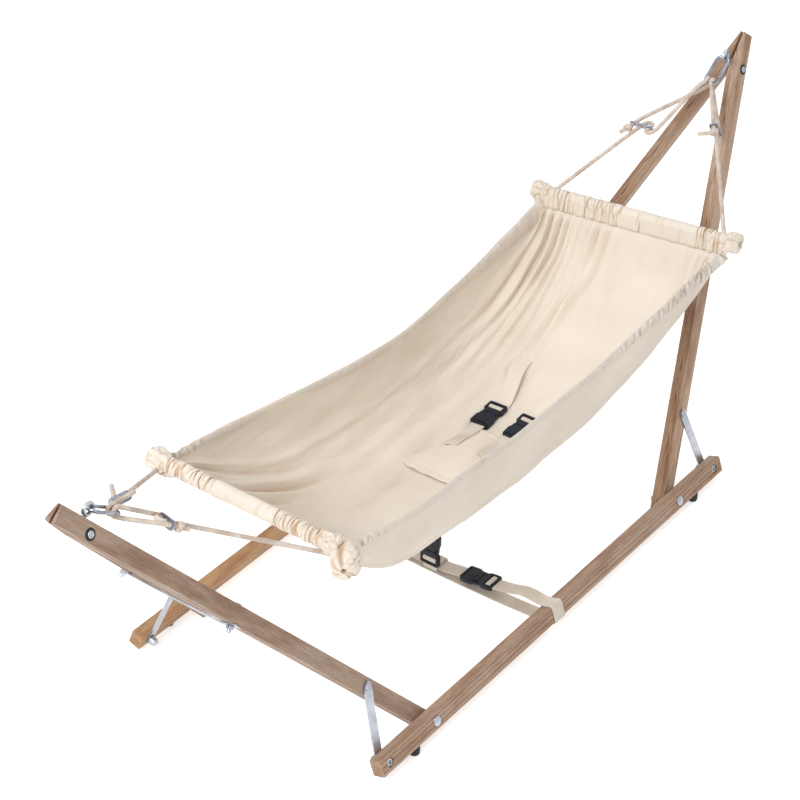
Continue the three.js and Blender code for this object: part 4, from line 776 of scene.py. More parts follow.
def trough(v, u):
    """Plain middle surface of the bed: v from foot bar to head bar, u from left rim to right rim."""
    v, u = np.broadcast_arrays(np.asarray(v, float), np.asarray(u, float))
    foot, head = ENDS["foot"], ENDS["head"]
    y0 = foot["bar"].y + BED_LENGTH * v
    angle = (1 - np.abs(u)) * math.pi / 2
    x = np.sign(u) * between(RIM_X, v) * np.abs(np.cos(angle)) ** (2 / SECTION_POWER)
    z = between(RIM_Z, v) - between(DEPTH, v) * np.abs(np.sin(angle)) ** (2 / SECTION_POWER)
    # The outer wall hangs lower beside the foot bar's right end, where the spare cloth is tied
    z = z - 22 * ease(0, 0.035, v) * (1 - ease(0.06, 0.32, v)) * ease(0.3, 0.62, u) * (1 - ease(0.8, 0.98, u))
    share = np.where(v > 0.5, ease(0.45, 1, v), 1 - ease(0, 0.45, v))
    axis_x, axis_y, axis_z = (np.where(v > 0.5, head["axis"][k], foot["axis"][k]) for k in range(3))
    return np.stack([x * (1 - share + share * axis_x), y0 + share * x * axis_y, z + share * x * axis_z], -1)


def seam_point(name, u, reach):
    """Point on the casing's seam, reach mm from the bar's axis toward the bed."""
    end = ENDS[name]
    v0, v1 = (1, 0.955) if name == "head" else (0, 0.045)
    edge, inside = trough(v0, u), trough(v1, u)
    way = inside - edge
    axis = np.array(end["axis"])
    way = unit(way - (way @ axis)[..., None] * axis)
    return edge + np.array([0, 0, SLEEVE_MID]) + way * reach, way


def waves(seed, count, long, short):
    """Uneven smooth noise in two directions, about -1 to 1, from seeded sine waves."""
    draw = random.Random(seed)
    terms = [(draw.uniform(0.5, 1.6) / long, draw.uniform(0.5, 1.6) / short, draw.uniform(0, 6.28),
              draw.uniform(0.6, 1), draw.choice((-1, 1))) for _ in range(count)]

    def value(a, b):
        total = sum(w * np.sin(6.283 * (ka * a + s * kb * b) + p) for ka, kb, p, w, s in terms)
        return total / math.sqrt(count) * 1.2

    return value


def u_at(x, rim):
    """The bed's u at x mm from its middle line, where its rims are rim mm away from that."""
    share = np.clip(np.abs(x) / rim, 0, 1)
    return np.sign(x) * (1 - np.arccos(share ** (SECTION_POWER / 2)) * 2 / math.pi)


SEAM = {"foot": 13.5, "head": 25}
long_waves = waves(3, 9, 260, 70)
small_waves = waves(4, 14, 60, 22)
# Creases at the casings: place along the bar, depth, half width and reach toward the middle
CREASES = {
    "head": [(-154, 5, 5.5, 0.3), (-139, 5.5, 4.6, 0.4), (-124, 6, 4.4, 0.46), (-110, 6.5, 4.2, 0.52),
             (-96, 5.5, 3.6, 0.42), (-84, 6.5, 3.8, 0.46), (-71, 6.5, 3.4, 0.5), (-61, 5, 3, 0.38),
             (-51, 6, 3, 0.44), (-42, 5, 2.8, 0.4), (-33, 5.4, 2.8, 0.4), (-25, 4, 2.6, 0.3), (-8, 1, 4, 0.3),
             (11, 4, 2.6, 0.38), (38, 1.4, 6, 0.4), (74, 1.4, 7, 0.36), (112, 2.2, 6, 0.3),
             (128, 2.6, 4, 0.2), (141, 3.4, 4, 0.24), (154, 3, 4, 0.18)],
    "foot": [(-148, 5, 5, 0.36), (-126, 7, 5, 0.5), (-102, 7, 4.4, 0.5), (-78, 7.5, 4.8, 0.56),
             (-54, 6.5, 4, 0.5), (-28, 5, 5, 0.5), (4, 2.2, 8, 0.34), (34, 2.4, 8, 0.4), (62, 3, 6, 0.36),
             (84, 3.4, 6, 0.34), (104, 3.6, 5.5, 0.3), (124, 3.8, 5.5, 0.28), (142, 3.6, 5, 0.2)],
}


def fold_height(v, u):
    """How far the folds lift or sink the cloth, in mm."""
    height = np.zeros(np.broadcast(v, u).shape)
    for name, creases in CREASES.items():
        t = (1 - v) if name == "head" else v
        for place, depth, half, reach in creases:
            at = float(u_at(place, RIM_END[name]))
            wide = half / 165 * (1 + 1.1 * ease(0, reach, t))
            fade = ease(0, 0.012, t) * (1 - ease(0.25 * reach, 1.25 * reach, t))
            # From the foot bar the folds run in toward the deepest part of the bed
            drift = 0.45 * ease(0, 0.5, t) if name == "foot" else 0
            line = u - at * (1 - drift) - 0.01 * np.sin(t * 17 + place)
            ridges = sum(np.exp(-((line + way * wide) / wide) ** 2) for way in (-1.9, 1.9))
            height -= 1.15 * depth * fade * (np.exp(-(line / wide) ** 2) - 0.6 * ridges)
    inside = ease(0, 0.06, v) * ease(0, 0.06, 1 - v)
    place = v * BED_LENGTH, u * 260
    height += inside * (long_waves(*place) + 0.22 * small_waves(*place))
    # One soft crease runs along each outer wall, a third of the way down
    for side in (-1, 1):
        height += 2.2 * inside * np.exp(-((u * side - 0.72 + 0.05 * np.sin(v * 7)) / 0.035) ** 2)
    return height


def bed(v, u):
    """Middle surface of the real cloth: the trough led into the two casings."""
    v, u = np.broadcast_arrays(np.asarray(v, float), np.asarray(u, float))
    p = trough(v, u)
    for name, v0, v1 in (("head", 0.945, 1.0), ("foot", 0.055, 0.0)):
        seam, _ = seam_point(name, u, SEAM[name] - 3)
        t = np.clip((v - v0) / (v1 - v0), 0, 1)
        anchor = trough(v0, u)
        straight = anchor + (seam - anchor) * t[..., None]
        p = p + (straight - p) * ease(v0, v1, v)[..., None]
    return p


def off(points):
    """Unit normals of a grid of points."""
    return unit(np.cross(np.gradient(points, axis=1), np.gradient(points, axis=0)))


def folded(v, u):
    points = bed(v, u)
    return points + off(points) * fold_height(v, u)[..., None]


def lengths(points):
    """Running lengths along a grid's middle column and middle row, as UV in mm."""
    rows, columns = points.shape[:2]
    return grid_uv(run_along(points[rows // 2]), run_along(points[:, columns // 2]))


def thicken(made, thickness):
    """Cloth thickness, given as a modifier."""
    shell = made.modifiers.new("cloth_thickness", "SOLIDIFY")
    shell.thickness, shell.offset = thickness * MM, 0
    return made


BED_ROWS, BED_COLUMNS = ((360, 380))
v = np.linspace(0, 1, BED_ROWS)[:, None]
u = (np.sin(np.linspace(-1, 1, BED_COLUMNS) * math.pi / 2) * 0.35
     + np.linspace(-1, 1, BED_COLUMNS) * 0.65)[None, :]
points = folded(v, u)
# Painted shade in the folds: the deeper a fold sinks the cloth, the darker it is painted
fold_shade = ease(0.6, 6, -fold_height(v, u)) * 0.5
bed_piece = thicken(surface("hammock_bed_canvas", points, lengths(points), crease_shade=fold_shade), 1.2)
fit(bed_piece, canvas, "canvas", "hammock", "hammock_cloth")


# Side hems: the canvas is turned over and sewn down along each rim, and drawn up into small slanting
# puckers. They are wide and ruffled at the head end and narrow in the middle.
def tucks(seed, lo, hi, gap, half, depth, slant=3.0):
    """Thin uneven tucks from lo to hi, about gap mm apart. Each slants and dies out part of the way round."""
    draw = random.Random(seed)
    listed, at = [], lo
    while at < hi:
        listed.append((at, depth * draw.uniform(0.5, 1.4), half * draw.uniform(0.7, 1.4),
                       draw.uniform(0, 6.28), slant * draw.uniform(-1, 1), draw.uniform(0.7, 2.4)))
        at += gap * draw.uniform(0.4, 1.5)

    def value(s, turn):
        total = 0
        for place, deep, wide, middle, lean, extent in listed:
            away = (turn - middle + math.pi) % (2 * math.pi) - math.pi
            total = total + (deep * np.exp(-(away / extent) ** 4)
                             * np.exp(-((s - place - lean * np.sin(away)) / wide) ** 2))
        return total

    return value


def crumples(seed, longest, shortest, count=6):
    """Creased cloth at points in mm: 0 in its sharp valleys, 1 on the broad puffs between them."""
    draw = random.Random(seed)
    terms = []
    for k in range(count):
        size = longest * (shortest / longest) ** (k / (count - 1))
        ways = [np.array(Vector([draw.gauss(0, 1) for _ in range(3)]).normalized()) * math.pi / size
                for _ in range(2)]
        terms.append((*ways, draw.uniform(0, 6.28)))

    def value(points):
        waved = [np.abs(np.sin(points @ way + phase + 0.9 * np.sin(points @ other)))
                 for way, other, phase in terms]
        return 0.6 * np.sqrt(np.min(waved[:3], axis=0)) + 0.4 * np.mean(waved, axis=0)

    return value


# Painted shade: the hems get a greyer, cooler copy of the canvas, for the cooler light that they lie in
shaded_hem_canvas = woven("turned_canvas_hem_shaded", "F4EBE0", "EBE1D7", "BFAE9F")
# Share of the way from foot bar to head bar, width and thickness of the roll
HEM = {"left": [(0, 16, 9), (0.05, 14, 6.5), (0.18, 13, 4.6), (0.5, 13, 4.2), (0.72, 17, 5.5),
                (0.85, 25, 8.5), (0.94, 32, 12), (1, 34, 15)],
       "right": [(0, 16, 9), (0.05, 14, 6.5), (0.18, 13, 4.6), (0.5, 12, 4.2), (0.75, 19, 6), (0.9, 28, 8),
                 (1, 30, 11)]}
hem_pieces, sewn = [], {}
for side, sx in SIDES:
    v = np.linspace(0.004, 0.998, 900)
    rim = folded(v[:, None], np.array([[sx * 0.9, sx * 0.999]]))
    path, inner = rim[:, 1], rim[:, 0]
    run = run_along(path)
    wide = between([(a, b) for a, b, _ in HEM[side]], v)
    thick = between([(a, c) for a, _, c in HEM[side]], v)
    way = unit(np.gradient(path, axis=0))
    down = inner - path
    down = unit(down - way * np.sum(down * way, axis=1)[:, None])
    face = np.cross(way, down)
    angle = circle(28)
    pucker = tucks(20 + sx, 0, run[-1], 5.5, 1.7, 1.1, 7)
    fine = tucks(30 + sx, 0, run[-1], 3.4, 0.9, 0.5, 4)
    lumps = waves(35 + sx, 10, 22, 2.2)
    ruffled = 1.7 if side == "right" else 0.1
    strength = (0.42 + ruffled * ease(0.6, 0.88, v) + 1.6 * (1 - ease(0.02, 0.13, v)))[:, None]
    tuck = pucker(run[:, None], angle[None, :]) + fine(run[:, None], angle[None, :])
    swell = strength * (0.5 * lumps(run[:, None], np.sin(angle)[None, :]) + 0.3 - tuck)
    a = np.cos(angle)[None, :] * (wide[:, None] / 2 + 0.8 * swell)
    b = np.sin(angle)[None, :] * (thick[:, None] / 2 + swell)
    points = (path[:, None] + down[:, None] * (a + wide[:, None] / 2 - 2)[..., None]
              + face[:, None] * b[..., None])
    uv = grid_uv(np.append(angle, 2 * math.pi) * 5, run)
    # The valleys of the tucks are darkened with painted shade
    made = surface("hem_" + side + "_roll", points, uv, wrap=True, ends=(True, True),
                   crease_shade=tuck * 0.32 * strength)
    hem_pieces.append(fit(made, shaded_hem_canvas, "canvas", "hammock"))
    sewn["hem_" + side] = points, (4, 24), 0


# Casings: each end of the canvas goes round its bar and is sewn to itself. The head casing is drawn up
# tight on the left and stays flat on the right; the foot casing is flat in its middle. Their ends close in
# pleated rosettes round the bar's end.
CASINGS = {
    "head": {"radius": 10.2, "left": 20, "right": 14, "swell": 4.2, "crumple": (19, 6),
             "gathers": [(-190, -108, 2.5, 1.0, 1.7), (-104, -62, 3.2, 1.0, 1.5), (-62, -20, 2.5, 0.9, 1.4),
                         (8, 14, 3, 1.1, 1.4), (40, 100, 12, 2.4, 0.4), (112, 184, 2.4, 1.0, 1.7)]},
    "foot": {"radius": 11.2, "left": 4, "right": 4, "swell": 3.6, "crumple": (13, 4.4),
             "gathers": [(-170, -44, 2.1, 1.1, 2.1), (-46, 54, 12, 2.6, 0.35), (56, 162, 2.2, 1.1, 2.0)]},
}
for name, c in CASINGS.items():
    end = ENDS[name]
    centre, axis = np.array(end["bar"]), np.array(end["axis"])
    radius = c["radius"]
    stations = []
    for way_out, past in ((-1, c["left"]), (1, c["right"])):
        tip = end["half"] + past
        lip = [(0, -34), (1.6, -24), (c["swell"], -12), (c["swell"] - 0.6, -5), (c["swell"] - 2.4, -0.8),
               (-1.2, 1.6), (-4.4, 0.8), (-5.8, -4), (-6.4, -10)]
        t = np.linspace(0, len(lip) - 1, 34)
        grown, place = (between([(i, q[k]) for i, q in enumerate(lip)], t) for k in (0, 1))
        stations.append([(way_out * (tip + s), g, 1 if k > 6 else k / 6)
                         for k, (g, s) in enumerate(zip(grown, place))])
    first, last = stations[0][::-1], stations[1]
    middle = [(s, 0, 0) for s in np.linspace(first[-1][0], last[0][0], 620)[1:-1]]
    s, grown, pleated = (np.array(q, float)[:, None] for q in zip(*(first + middle + last)))
    angle = circle(56)[None, :]
    rim = RIM_END[name]
    _, way = seam_point(name, u_at(s[:, 0], rim), 0)
    across = np.cross(axis, way)
    reach = radius + (SEAM[name] - radius) * (1 - ease(rim + 3, rim + 15, np.abs(s)))
    lean = np.arccos(np.clip(radius / reach, 0, 1))
    turn = np.minimum(angle, 2 * math.pi - angle)
    body = np.where(turn < lean, radius / np.cos(np.minimum(lean - turn, 1.45)), radius)
    size = body + grown
    # Painted shade in the tucks, the pleats and the valleys between the puffs
    tuck_shade, gathered = 0, 0
    for k, (lo, hi, gap, half, deep) in enumerate(c["gathers"]):
        tuck = tucks(40 + k + 10 * ord(name[0]), lo, hi, gap, half, deep)(s, angle)
        here = ease(lo - 6, lo + 6, s) * (1 - ease(hi - 6, hi + 6, s)) * (1 - pleated) * min(1, deep / 1.5)
        size = size + 0.5 * here - tuck * (1 - pleated)
        gathered = gathered + here
        tuck_shade = tuck_shade + tuck / 1.8 * (1 - pleated)
    pleats = sum(h * np.abs(np.sin(n * angle / 2 + p))
                 for n, h, p in ((9, 1.0, 0.4), (14, 0.5, 1.1), (5, 0.6, 2)))
    size = size + pleated * (pleats - 1.2) * 1.5 * np.clip(size / 9, 0.25, 1.4)
    tuck_shade = tuck_shade + pleated * ease(1.0, 0.2, pleats)
    outward = np.cos(angle)[..., None] * way[:, None] + np.sin(angle)[..., None] * across[:, None]
    puffs = crumples(ord(name[0]), *c["crumple"])(centre + axis * s[..., None] + outward * size[..., None])
    size = size + (2.2 * gathered + 9 * pleated * np.clip(size / 9, 0.2, 1)) * (puffs - 0.57)
    tuck_shade = tuck_shade + (0.9 * pleated + 0.4 * gathered) * ease(0.42, 0.2, puffs)
    points = centre + axis * s[..., None] + outward * size[..., None]
    run = np.concatenate([[0], np.cumsum(np.hypot(np.diff(s[:, 0]), np.diff(grown[:, 0])))])
    made = surface("casing_" + name + "_gathered", points, grid_uv(np.linspace(0, 2 * math.pi * 12, 57), run),
                   wrap=True, crease_shade=tuck_shade)
    fit(thicken(made, 0.8), canvas, "canvas", "hammock")
    column = 1 if name == "head" else 2
    sewn["casing_" + name] = points[pleated[:, 0] == 0], (column, 56 - column), 0.4


# Loose ends of the foot casing: spare cloth is tied into a ball that hangs off the bar's right end, its
# pleats running out from a small mouth, and into a smaller knot of cloth under the left end.
def bunch(name, centre, half, opens, mouth, seed, count, deep, crumpled):
    """Ball of drawn-up cloth: half sizes in mm, opens is the way that its mouth looks."""
    opens = Vector(opens).normalized()
    a = opens.cross(Z).normalized()
    b = opens.cross(a)
    draw = random.Random(seed)
    phi = circle(200)[None, :]
    start = math.asin(mouth / max(half))
    theta = np.linspace(start, math.pi * 0.985, 100)[:, None]
    fold = 0
    for k in range(count):
        at = 6.283 * (k + draw.uniform(-0.45, 0.45)) / count
        sway, tall = draw.uniform(-0.9, 0.5), draw.uniform(0.4, 1.4)
        wide, ends_at = draw.uniform(0.4, 1.0) * 1.1 / count, draw.uniform(1.3, 2.6)
        away = (phi - at - sway * theta + math.pi) % (2 * math.pi) - math.pi
        fold = fold + tall * np.exp(-(away / (wide * 1.5)) ** 2) * (1 - ease(ends_at - 0.8, ends_at, theta))
    d = (np.array(opens) * np.cos(theta)[..., None]
         + (np.array(a) * np.cos(phi)[..., None] + np.array(b) * np.sin(phi)[..., None])
         * np.sin(theta)[..., None])
    size = 1 / np.sqrt(np.sum((d / np.array(half)) ** 2, -1))
    puffs = crumples(seed, max(half) * 1.1, 7.5)(d * size[..., None])
    grown = (deep * (0.25 - fold) * (0.3 + 0.7 * np.sin(theta))
             + crumpled * (puffs - 0.57) * np.sin(theta) ** 0.5)
    # Painted shade in the folds and the crumpled valleys
    fold = fold + 0.1 * crumpled * ease(0.42, 0.2, puffs)
    points = np.array(centre) + d * (size + grown)[..., None]
    # The mouth turns inward as a short sleeve
    rim = points[0]
    hub = rim.mean(0)
    inward = [hub + (rim - hub) * f - np.array(opens) * drop for f, drop in
              ((0.42, 11), (0.5, 8), (0.6, 4.5), (0.78, 1.2))]
    points = np.concatenate([np.array(inward), points])
    # The turned-in mouth is painted in deep shade
    fold = np.concatenate([np.full((4, fold.shape[1]), 0.9), fold * (0.4 + 0.6 * np.sin(theta))])
    uv = grid_uv(np.linspace(0, 2 * math.pi * max(half), phi.shape[1] + 1), run_along(points[:, 0]))
    made = surface(name, points, uv, wrap=True, ends=(True, True), crease_shade=fold)
    return fit(made, canvas, "canvas", "hammock")


foot = ENDS["foot"]
ball = bunch("bunch_foot_right_ball", foot["bar"] + foot["axis"] * (foot["half"] + 14) - Z * 17,
             (20, 22, 27), (0.5, -0.86, -0.02), 5.5, 58, 6, 2.6, 5)
knot_left = bunch("bunch_foot_left_knot", foot["bar"] - foot["axis"] * (foot["half"] - 22) - Z * 8,
                  (17, 12, 12), (-0.2, -0.8, -0.55), 3, 52, 9, 2.2, 8)


# Webbing: cotton tape, 25 mm wide and 1.5 mm thick, with fine ribs across it. It makes the belt, the
# strap that ties the bed to the belt, the tape loops of the harness and its two shoulder straps.
webbing, tree = started("ribbed_cotton_webbing", {"Roughness": 0.9, "Specular IOR Level": 0.15,
                                                  "Sheen Weight": 0.2})
split = add(tree, "SeparateXYZ", {0: add(tree, "UVMap", uv_map="UVMap")})
# Ribs 1.8 mm apart along the tape, each with a small zigzag across it
zigzag = add(tree, "Math", {0: split.outputs["X"], 1: 2 * math.pi * 22}, operation="MULTIPLY")
zigzag = add(tree, "Math", {0: zigzag}, operation="SINE")
zigzag = add(tree, "Math", {0: zigzag, 1: 0.9}, operation="MULTIPLY")
rib = add(tree, "Math", {0: split.outputs["Y"], 1: 2 * math.pi * 55, 2: zigzag}, operation="MULTIPLY_ADD")
rib = add(tree, "Math", {0: rib}, operation="SINE")
rest = add(tree, "TexCoord").outputs["Object"]
fuzz = add(tree, "TexNoise", {"Scale": 700, "Detail": 3, "Vector": rest})
stain = add(tree, "TexNoise", {"Scale": 30, "Detail": 2, "Vector": rest})
tone = add(tree, "ValToRGB", {0: stain}, ((0.35, "DDD1C2"), (0.65, "EAE1D6")))
shade = add(tree, "MapRange", {"From Min": -1, "To Min": 0.84, "Value": rib})
colour = add(tree, "MixRGB", {"Fac": 0.7, "Color1": tone, "Color2": shade}, blend_type="MULTIPLY")
coat(tree, colour, add(tree, "Math", {0: rib, 1: fuzz}, operation="ADD"), (0.45, 0.0004))


def tape(name, path, across, width, thick=1.5, material=webbing, slot="webbing", body="hammock"):
    """Ribbon along a path of points in mm; across holds its sideways directions."""
    path = np.array([list(p) for p in path], float)
    across = np.broadcast_to(np.array(across, float), path.shape)
    run = run_along(path)
    t = np.linspace(-0.5, 0.5, 9)
    points = path[:, None] + across[:, None] * (t[None, :, None] * width)
    made = thicken(surface(name, points, grid_uv((t + 0.5) * width, run)), thick)
    return fit(softened(made, 0.45, 2), material, slot, body), float(run[-1])


def even_path(points, corner, step=2.0):
    """The listed points as a path with its corners turned round, in even steps."""
    bent = np.array([list(q) for q in rounded([tuple(p) for p in points], corner, 6)])
    run = run_along(bent)
    at = np.linspace(0, run[-1], max(3, int(run[-1] / step)))
    return np.stack([np.interp(at, run, bent[:, k]) for k in range(bent.shape[1])], 1)


# Belt: one long loop of webbing lies on the floor between the rails, goes round both of them and comes
# back a little higher.
BELT_AT = -20
t = 0.75  # half the thickness of the tape


def rail_corner(q, r):
    p = in_frame(0, q, r)
    return p.x, p.z


q, r, e = BAR_B / 2 + 0.5 + t, BAR_T / 2 + 0.5 + t, 2.2
right_half = [(70, 2.1 - t), (150, 4.2 - t), rail_corner(-q, -r + e), rail_corner(-q, r - e),
              rail_corner(-q + e, r), rail_corner(q - e, r), rail_corner(q, r - e), rail_corner(q, -r + 2),
              (172, 36.5 + t), (148, 28.4 + t), (124, 23.4 + t), (56, 15.4 + t), (24, 10 + t)]
left_half = [(-x, z) for x, z in right_half[::-1]]
loop = [(0, 1.4 - t)] + right_half + left_half + [(0, 1.4 - t)]
path = even_path(loop, 9)
path = np.stack([path[:, 0], np.full(len(path), BELT_AT), np.maximum(path[:, 1], 0.8)], 1)
belt, length = tape("belt_webbing", path, Y, 25, body="stand")
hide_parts("belt")

# Strap between the bed and the belt: it hangs from the bed, goes round the belt and is sewn back to itself
# below its buckle.
STRAP_X, STRAP_FRONT = 6.0, -34
top = float(bed((STRAP_FRONT - foot["bar"].y) / BED_LENGTH, 0)[2]) - 1.6
front, back, low, high = STRAP_FRONT, -5.6, 5.85, 14.95
route = [(front, top), (front, 80), (front, low), (back, low), (back, high), (front + 1.8, high),
         (front + 1.8, 24), (front + 1.8, 33)]
path = even_path(route, 3)
path = np.stack([np.full(len(path), STRAP_X), path[:, 0], path[:, 1]], 1)
anchor, length = tape("anchor_strap_webbing", path, X, 25, body="anchor")
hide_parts("anchor_strap")


# Side release buckles: moulded black acetal in two halves that snap together, 33 by 58 mm. The tape goes
# over a bar in the window of one half.
# A spark eroded mould gives acetal a fine grain with a soft, slightly blue sheen.
acetal = clouded("moulded_black_acetal", {"Specular IOR Level": 0.28}, 90, 3,
                 ((0.35, "0B1220"), (0.7, "121B29")), (0.34, 0.5), (0.18, 0.0002), (1600, 1600, 1600))


def moulded(name, outlines, low, high, edge, place):
    """Plate between two heights with rounded edges, from an outline and the holes in it, in mm."""
    drawn = bpy.data.curves.new(name, "CURVE")
    drawn.dimensions, drawn.fill_mode = "2D", "BOTH"
    for k, outline in enumerate(outlines):
        centre = np.mean(outline, axis=0)
        inset = edge if k == 0 else -edge
        spline = drawn.splines.new("POLY")
        spline.points.add(len(outline) - 1)
        for point, at in zip(spline.points, outline):
            x, y = ((c - m) * (1 - inset / max(4, abs(c - m))) + m if abs(c - m) > 2 * edge else c
                    for c, m in zip(at, centre))
            point.co = (x, y, 0, 1)
        spline.use_cyclic_u = True
    drawn.extrude = (high - low) / 2 - edge
    drawn.bevel_depth, drawn.bevel_resolution = edge, 2
    flat = placed(name + "_drawn", drawn)
    mesh = bpy.data.meshes.new_from_object(flat.evaluated_get(bpy.context.evaluated_depsgraph_get()))
    bpy.data.objects.remove(flat)
    bpy.data.curves.remove(drawn)
    mesh.transform(place @ Matrix.Translation((0, 0, (low + high) / 2)))
    mesh.transform(Matrix.Scale(MM, 4))
    mesh.polygons.foreach_set("use_smooth", [True] * len(mesh.polygons))
    return crisped(placed(name, mesh), 40)


def corners_cut(points, corner, steps=4):
    """Closed outline with its corners turned to arcs."""
    looped = [points[-1]] + list(points) + [points[0]]
    return rounded(looped, corner, steps)[1:-1]


def box_outline(half, low, high, corner):
    return corners_cut([(-half, low), (half, low), (half, high), (-half, high)], corner)


def both_halves(right):
    """Closed outline from its right half, which is listed from one end."""
    left = [(-x, y) for x, y in right]
    return corners_cut(left[:1] + right + left[:0:-1], 3)


def frame_of(centre, wide, long, up):
    return Matrix(((wide[0], long[0], up[0], centre[0]), (wide[1], long[1], up[1], centre[1]),
                   (wide[2], long[2], up[2], centre[2]), (0, 0, 0, 1)))


def buckle(node, centre, wide, long, body, tape_end=33):
    """Both halves of a buckle and the tape over its bar, standing for a CAD buckle."""
    place = frame_of(centre, wide, long, wide.cross(long))
    w = 16.5
    socket_half = both_halves([(w, -29), (w, -9), (w - 4.6, -2.5), (w - 4.4, 1.2)])
    plug_half = both_halves([(w - 3.6, 2.2), (w - 3, 6), (w, 10.5), (w, 29)])
    # Outline and the window for the tape, lower and upper face, rounding of the edges
    parts = [moulded(node + "_" + part, outlines, *sizes, place) for part, outlines, *sizes in (
        ("socket_half", [socket_half, box_outline(12.8, -26.4, -22.6, 1.2)], -4.5, 4.5, 1.1),
        ("plug_half", [plug_half, box_outline(12.2, 13.6, 24.8, 1.5)], -3.9, 4.1, 1.0),
        ("tongue", [box_outline(9.5, -8, 6, 1.5)], -2.6, 2.4, 0.5),
        ("thumb_pad", [box_outline(7, -19, -6, 3)], 4.1, 5.1, 0.45))]
    for letter, sx in (("a", -1), ("b", 1)):
        arm = [(w - 4.2, -8.5), (w - 0.9, -7.5), (w - 1.6, -2), (w - 1.9, 3), (w - 5, 4.5), (w - 5, -4)][::sx]
        arm = corners_cut([(sx * x, y) for x, y in arm], 0.9)
        parts.append(moulded(node + "_arm_" + letter, [arm], -2.4, 2.4, 0.6, place))
    for made in parts:
        fit(made, acetal, "buckle_plastic", body)
    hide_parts(node)
    over = even_path([(tape_end, -1.6), (26.4, -1.6), (24, 0.6), (21.6, 2.9), (17, 2.9), (14.6, 0.6),
                      (12.6, -1.6), (9, -1.6)], 2.5, 0.8)
    points = [place @ Vector((0, a, b)) for a, b in over]
    bar_tape, run = tape(node + "_bar_tape", points, wide, 23.4, 1.4, body=body)


long = Vector((math.cos(math.radians(6.7)), 0, math.sin(math.radians(6.7))))
buckle("belt_buckle", Vector((90, BELT_AT, 20.15)), -Y, long, "stand")
buckle("anchor_buckle", Vector((STRAP_X, STRAP_FRONT, 45.5)), -X, -Z, "anchor", 28)


# Harness: a canvas panel, two layers thick with turned edges, that comes up from the bed. Two tape loops are
# sewn on it and end in buckles, which take the two padded shoulder straps.
PANEL_FROM, PANEL_LENGTH = -20, 148
HARNESS_X = 30


def on_bed(x, y, lift):
    """Points lift mm above the bed at a given x and y."""
    x, y = np.broadcast_arrays(np.asarray(x, float), np.asarray(y, float))
    v = (y - foot["bar"].y) / BED_LENGTH
    u = u_at(x, between(RIM_X, v))
    p = bed(v, u)
    p[..., 0], p[..., 1] = x, y
    p[..., 2] += fold_height(v, u) * 0.8 + 0.9 + lift
    return p


def panel_half(t):
    return 62 + (44 - 62) * ease(0, 0.8, t)


def panel_lift(x, t):
    q = np.clip(x / panel_half(t), -1, 1)
    folds = 1.1 * np.exp(-((np.abs(q) - 0.5 - 0.25 * (1 - t)) / 0.09) ** 2) * ease(0.25, 0.7, t)
    creases = 0.8 * long_waves(t * 150 + 40, x * 1.6) + 0.35 * small_waves(t * 150, x)
    return 12 * np.sin(math.pi * np.clip(t, 0, 1)) * (1 - q ** 2) + folds + creases + 2.4


def panel_at(q, t):
    """Middle surface of the panel: q from its left edge to its right one, t from foot to head."""
    x, y = q * panel_half(t), PANEL_FROM + PANEL_LENGTH * t + 4 * np.abs(q) ** 3 * (1 - t)
    points = on_bed(x, y, panel_lift(x, t))
    edge = np.minimum(np.minimum((1 - np.abs(q)) * panel_half(t), t * PANEL_LENGTH), (1 - t) * PANEL_LENGTH)
    points[..., 2] += 0.9 * (1 - ease(7.5, 8.6, edge)) - 0.7 * np.exp(-((edge - 7.6) / 0.8) ** 2)
    return points


rows, columns = ((130, 110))
points = panel_at(np.linspace(-1, 1, columns)[None, :], np.linspace(0, 1, rows)[:, None])
panel = softened(thicken(surface("harness_panel_canvas", points, lengths(points)), 2.6), 1.0, 3)
fit(panel, canvas, "canvas", "hammock", "harness_panel")

for side, sx in SIDES:
    node = "harness_buckle_" + side
    a, b = (Vector(on_bed(sx * HARNESS_X, y, 0)) for y in (137, 189))
    rim_one, rim_other = (Vector(on_bed(sx * HARNESS_X + k, 163, 0)) for k in (-15, 15))
    long = (b - a).normalized()
    normal = (rim_other - rim_one).cross(long).normalized()
    wide = long.cross(normal).normalized()
    centre = a.lerp(b, 0.5) + normal * 6.5
    buckle(node, centre, wide, long, "hammock")
    # Tape loop sewn on the panel
    run = np.linspace(60, 122, 20)
    x = np.full_like(run, sx * HARNESS_X)
    lie, left, right = (on_bed(x + k, run, panel_lift(x + k, (run - PANEL_FROM) / PANEL_LENGTH)
                               + 2.9 + 1.3 * ease(100, 118, run)) for k in (0, -12, 12))
    path = [Vector(p) for p in lie] + [centre - long * 31 + normal * 0.6, centre - long * 25 + normal * 0.2,
                                       centre - long * 18]
    path = curve_through(path, 2.0)[0]
    tilt = unit(right - left)
    level = np.stack([np.interp(path[:, 1], np.append(run, 138), np.append(tilt[:, k], wide[k]))
                      for k in range(3)], 1)
    loop, length = tape("harness_loop_" + side, path, level, 25)
    # Shoulder strap: a sewn tube of canvas pressed flat, which ends in a seam of the bed
    run = np.linspace(206, 296, 24)
    x = sx * (HARNESS_X + 26 * ease(192, 296, run))
    slack = 5 * np.sin(math.pi * (run - 192) / 104)
    lie = on_bed(x, run, 1.8 + slack)
    path = [centre + long * 24 - normal * 1.6, centre + long * 31 - normal * 1.8] + [Vector(p) for p in lie]
    path = curve_through(path, 2.0)[0]
    roll = np.linspace(0, 1, len(path))[:, None]
    tilt = 0.16 * np.sin(roll * 7 + sx)
    across = np.array(wide) * np.cos(tilt) + np.array(normal) * np.sin(tilt)
    strap, length = tape("shoulder_strap_" + side + "_tube", path, across, 27, 2.2, material=canvas,
                         slot="canvas")
    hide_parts("shoulder_strap_" + side)


# Stitches: one row of white cotton thread along each hem and each casing, and two round the panel. Each
# stitch is 3 mm long and lies on the cloth with its ends drawn in.
thread, tree = started("white_cotton_thread", {"Roughness": 0.8, "Sheen Weight": 0.2})
split = add(tree, "SeparateXYZ", {0: add(tree, "UVMap", uv_map="UVMap")})
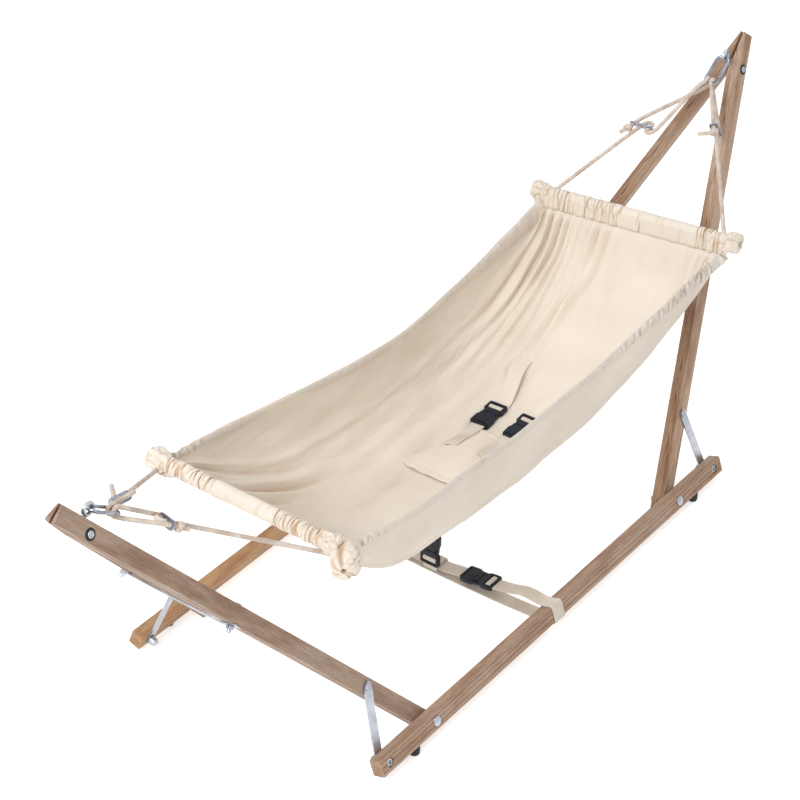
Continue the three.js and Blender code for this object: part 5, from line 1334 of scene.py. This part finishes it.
# Two plies twisted together, one turn to each 0.9 mm
ply = add(tree, "Math", {0: split.outputs["Y"], 1: 2 * math.pi * 110, 2: split.outputs["X"]},
          operation="MULTIPLY_ADD")
ply = add(tree, "Math", {0: ply}, operation="SINE")
# Painted shade: the groove between the plies is darker
coat(tree, add(tree, "ValToRGB", {0: ply}, ((0, "D9CBB9"), (1, "FBF4EA"))), ply, (0.4, 0.0001))


def stitches(name, path, up, lift=0.0, pitch=3.6, radius=0.32):
    """Row of stitches along a path, lift mm above it; up points away from the cloth."""
    run = run_along(path)
    at = (np.arange(int(run[-1] / pitch))[:, None] + np.array([0.08, 0.26, 0.74, 0.92])) * pitch
    middle, out = (np.stack([np.interp(at, run, grid[:, k]) for k in range(3)], -1) for grid in (path, up))
    out = unit(out)
    middle += out * (lift + np.array([-0.4, 0.14, 0.14, -0.4])[:, None])
    aside = np.cross(unit(middle[:, -1:] - middle[:, :1]), out)
    angle = circle(6)[:, None]
    points = middle[:, :, None] + radius * (np.cos(angle) * aside[:, :, None]
                                            + np.sin(angle) * out[:, :, None])
    corners = [tuple(q) for q in points.reshape(-1, 3) * MM]
    faces, where = [], []
    for first in range(0, len(corners), 24):
        for ring in range(3):
            for j in range(6):
                a, b = first + ring * 6 + j, first + ring * 6 + (j + 1) % 6
                faces.append((a, b, b + 6, a + 6))
                where += [(j, ring), (j + 1, ring), (j + 1, ring + 1), (j, ring + 1)]
    mesh = bpy.data.meshes.new(name)
    mesh.from_pydata(corners, [], faces)
    layer = mesh.uv_layers.new(name="UVMap")
    layer.data.foreach_set("uv", (np.array(where) * (1.05, 0.01)).astype(np.float32).reshape(-1))
    mesh.polygons.foreach_set("use_smooth", [True] * len(faces))
    return fit(placed(name, mesh), thread, "canvas", "hammock")


for piece, (grid, columns, lift) in sewn.items():
    up = off(grid)
    up *= np.sign(np.sum(up * (grid - grid.mean(1, keepdims=True)), -1, keepdims=True))
    for column, face_name in zip(columns, ("one", "other")):
        stitches(piece + "_stitches_" + face_name + "_face", grid[:, column], up[:, column], lift)
for inset, row in ((2.8, "outer"), (8.8, "inner")):
    t = np.linspace(inset, PANEL_LENGTH - inset, 60) / PANEL_LENGTH
    q = 1 - inset / panel_half(t)
    over = np.linspace(-1, 1, 50)
    q, t = (np.concatenate(k) for k in ((over * q[0], q, -over * q[-1], -q[::-1]),
                                        (np.full(50, t[0]), t, np.full(50, t[-1]), t[::-1])))
    up = np.cross(panel_at(q + 0.01, t) - panel_at(q - 0.01, t),
                  panel_at(q, t + 0.01) - panel_at(q, t - 0.01))
    stitches("harness_panel_stitches_" + row, panel_at(q, t), up, 1.35)
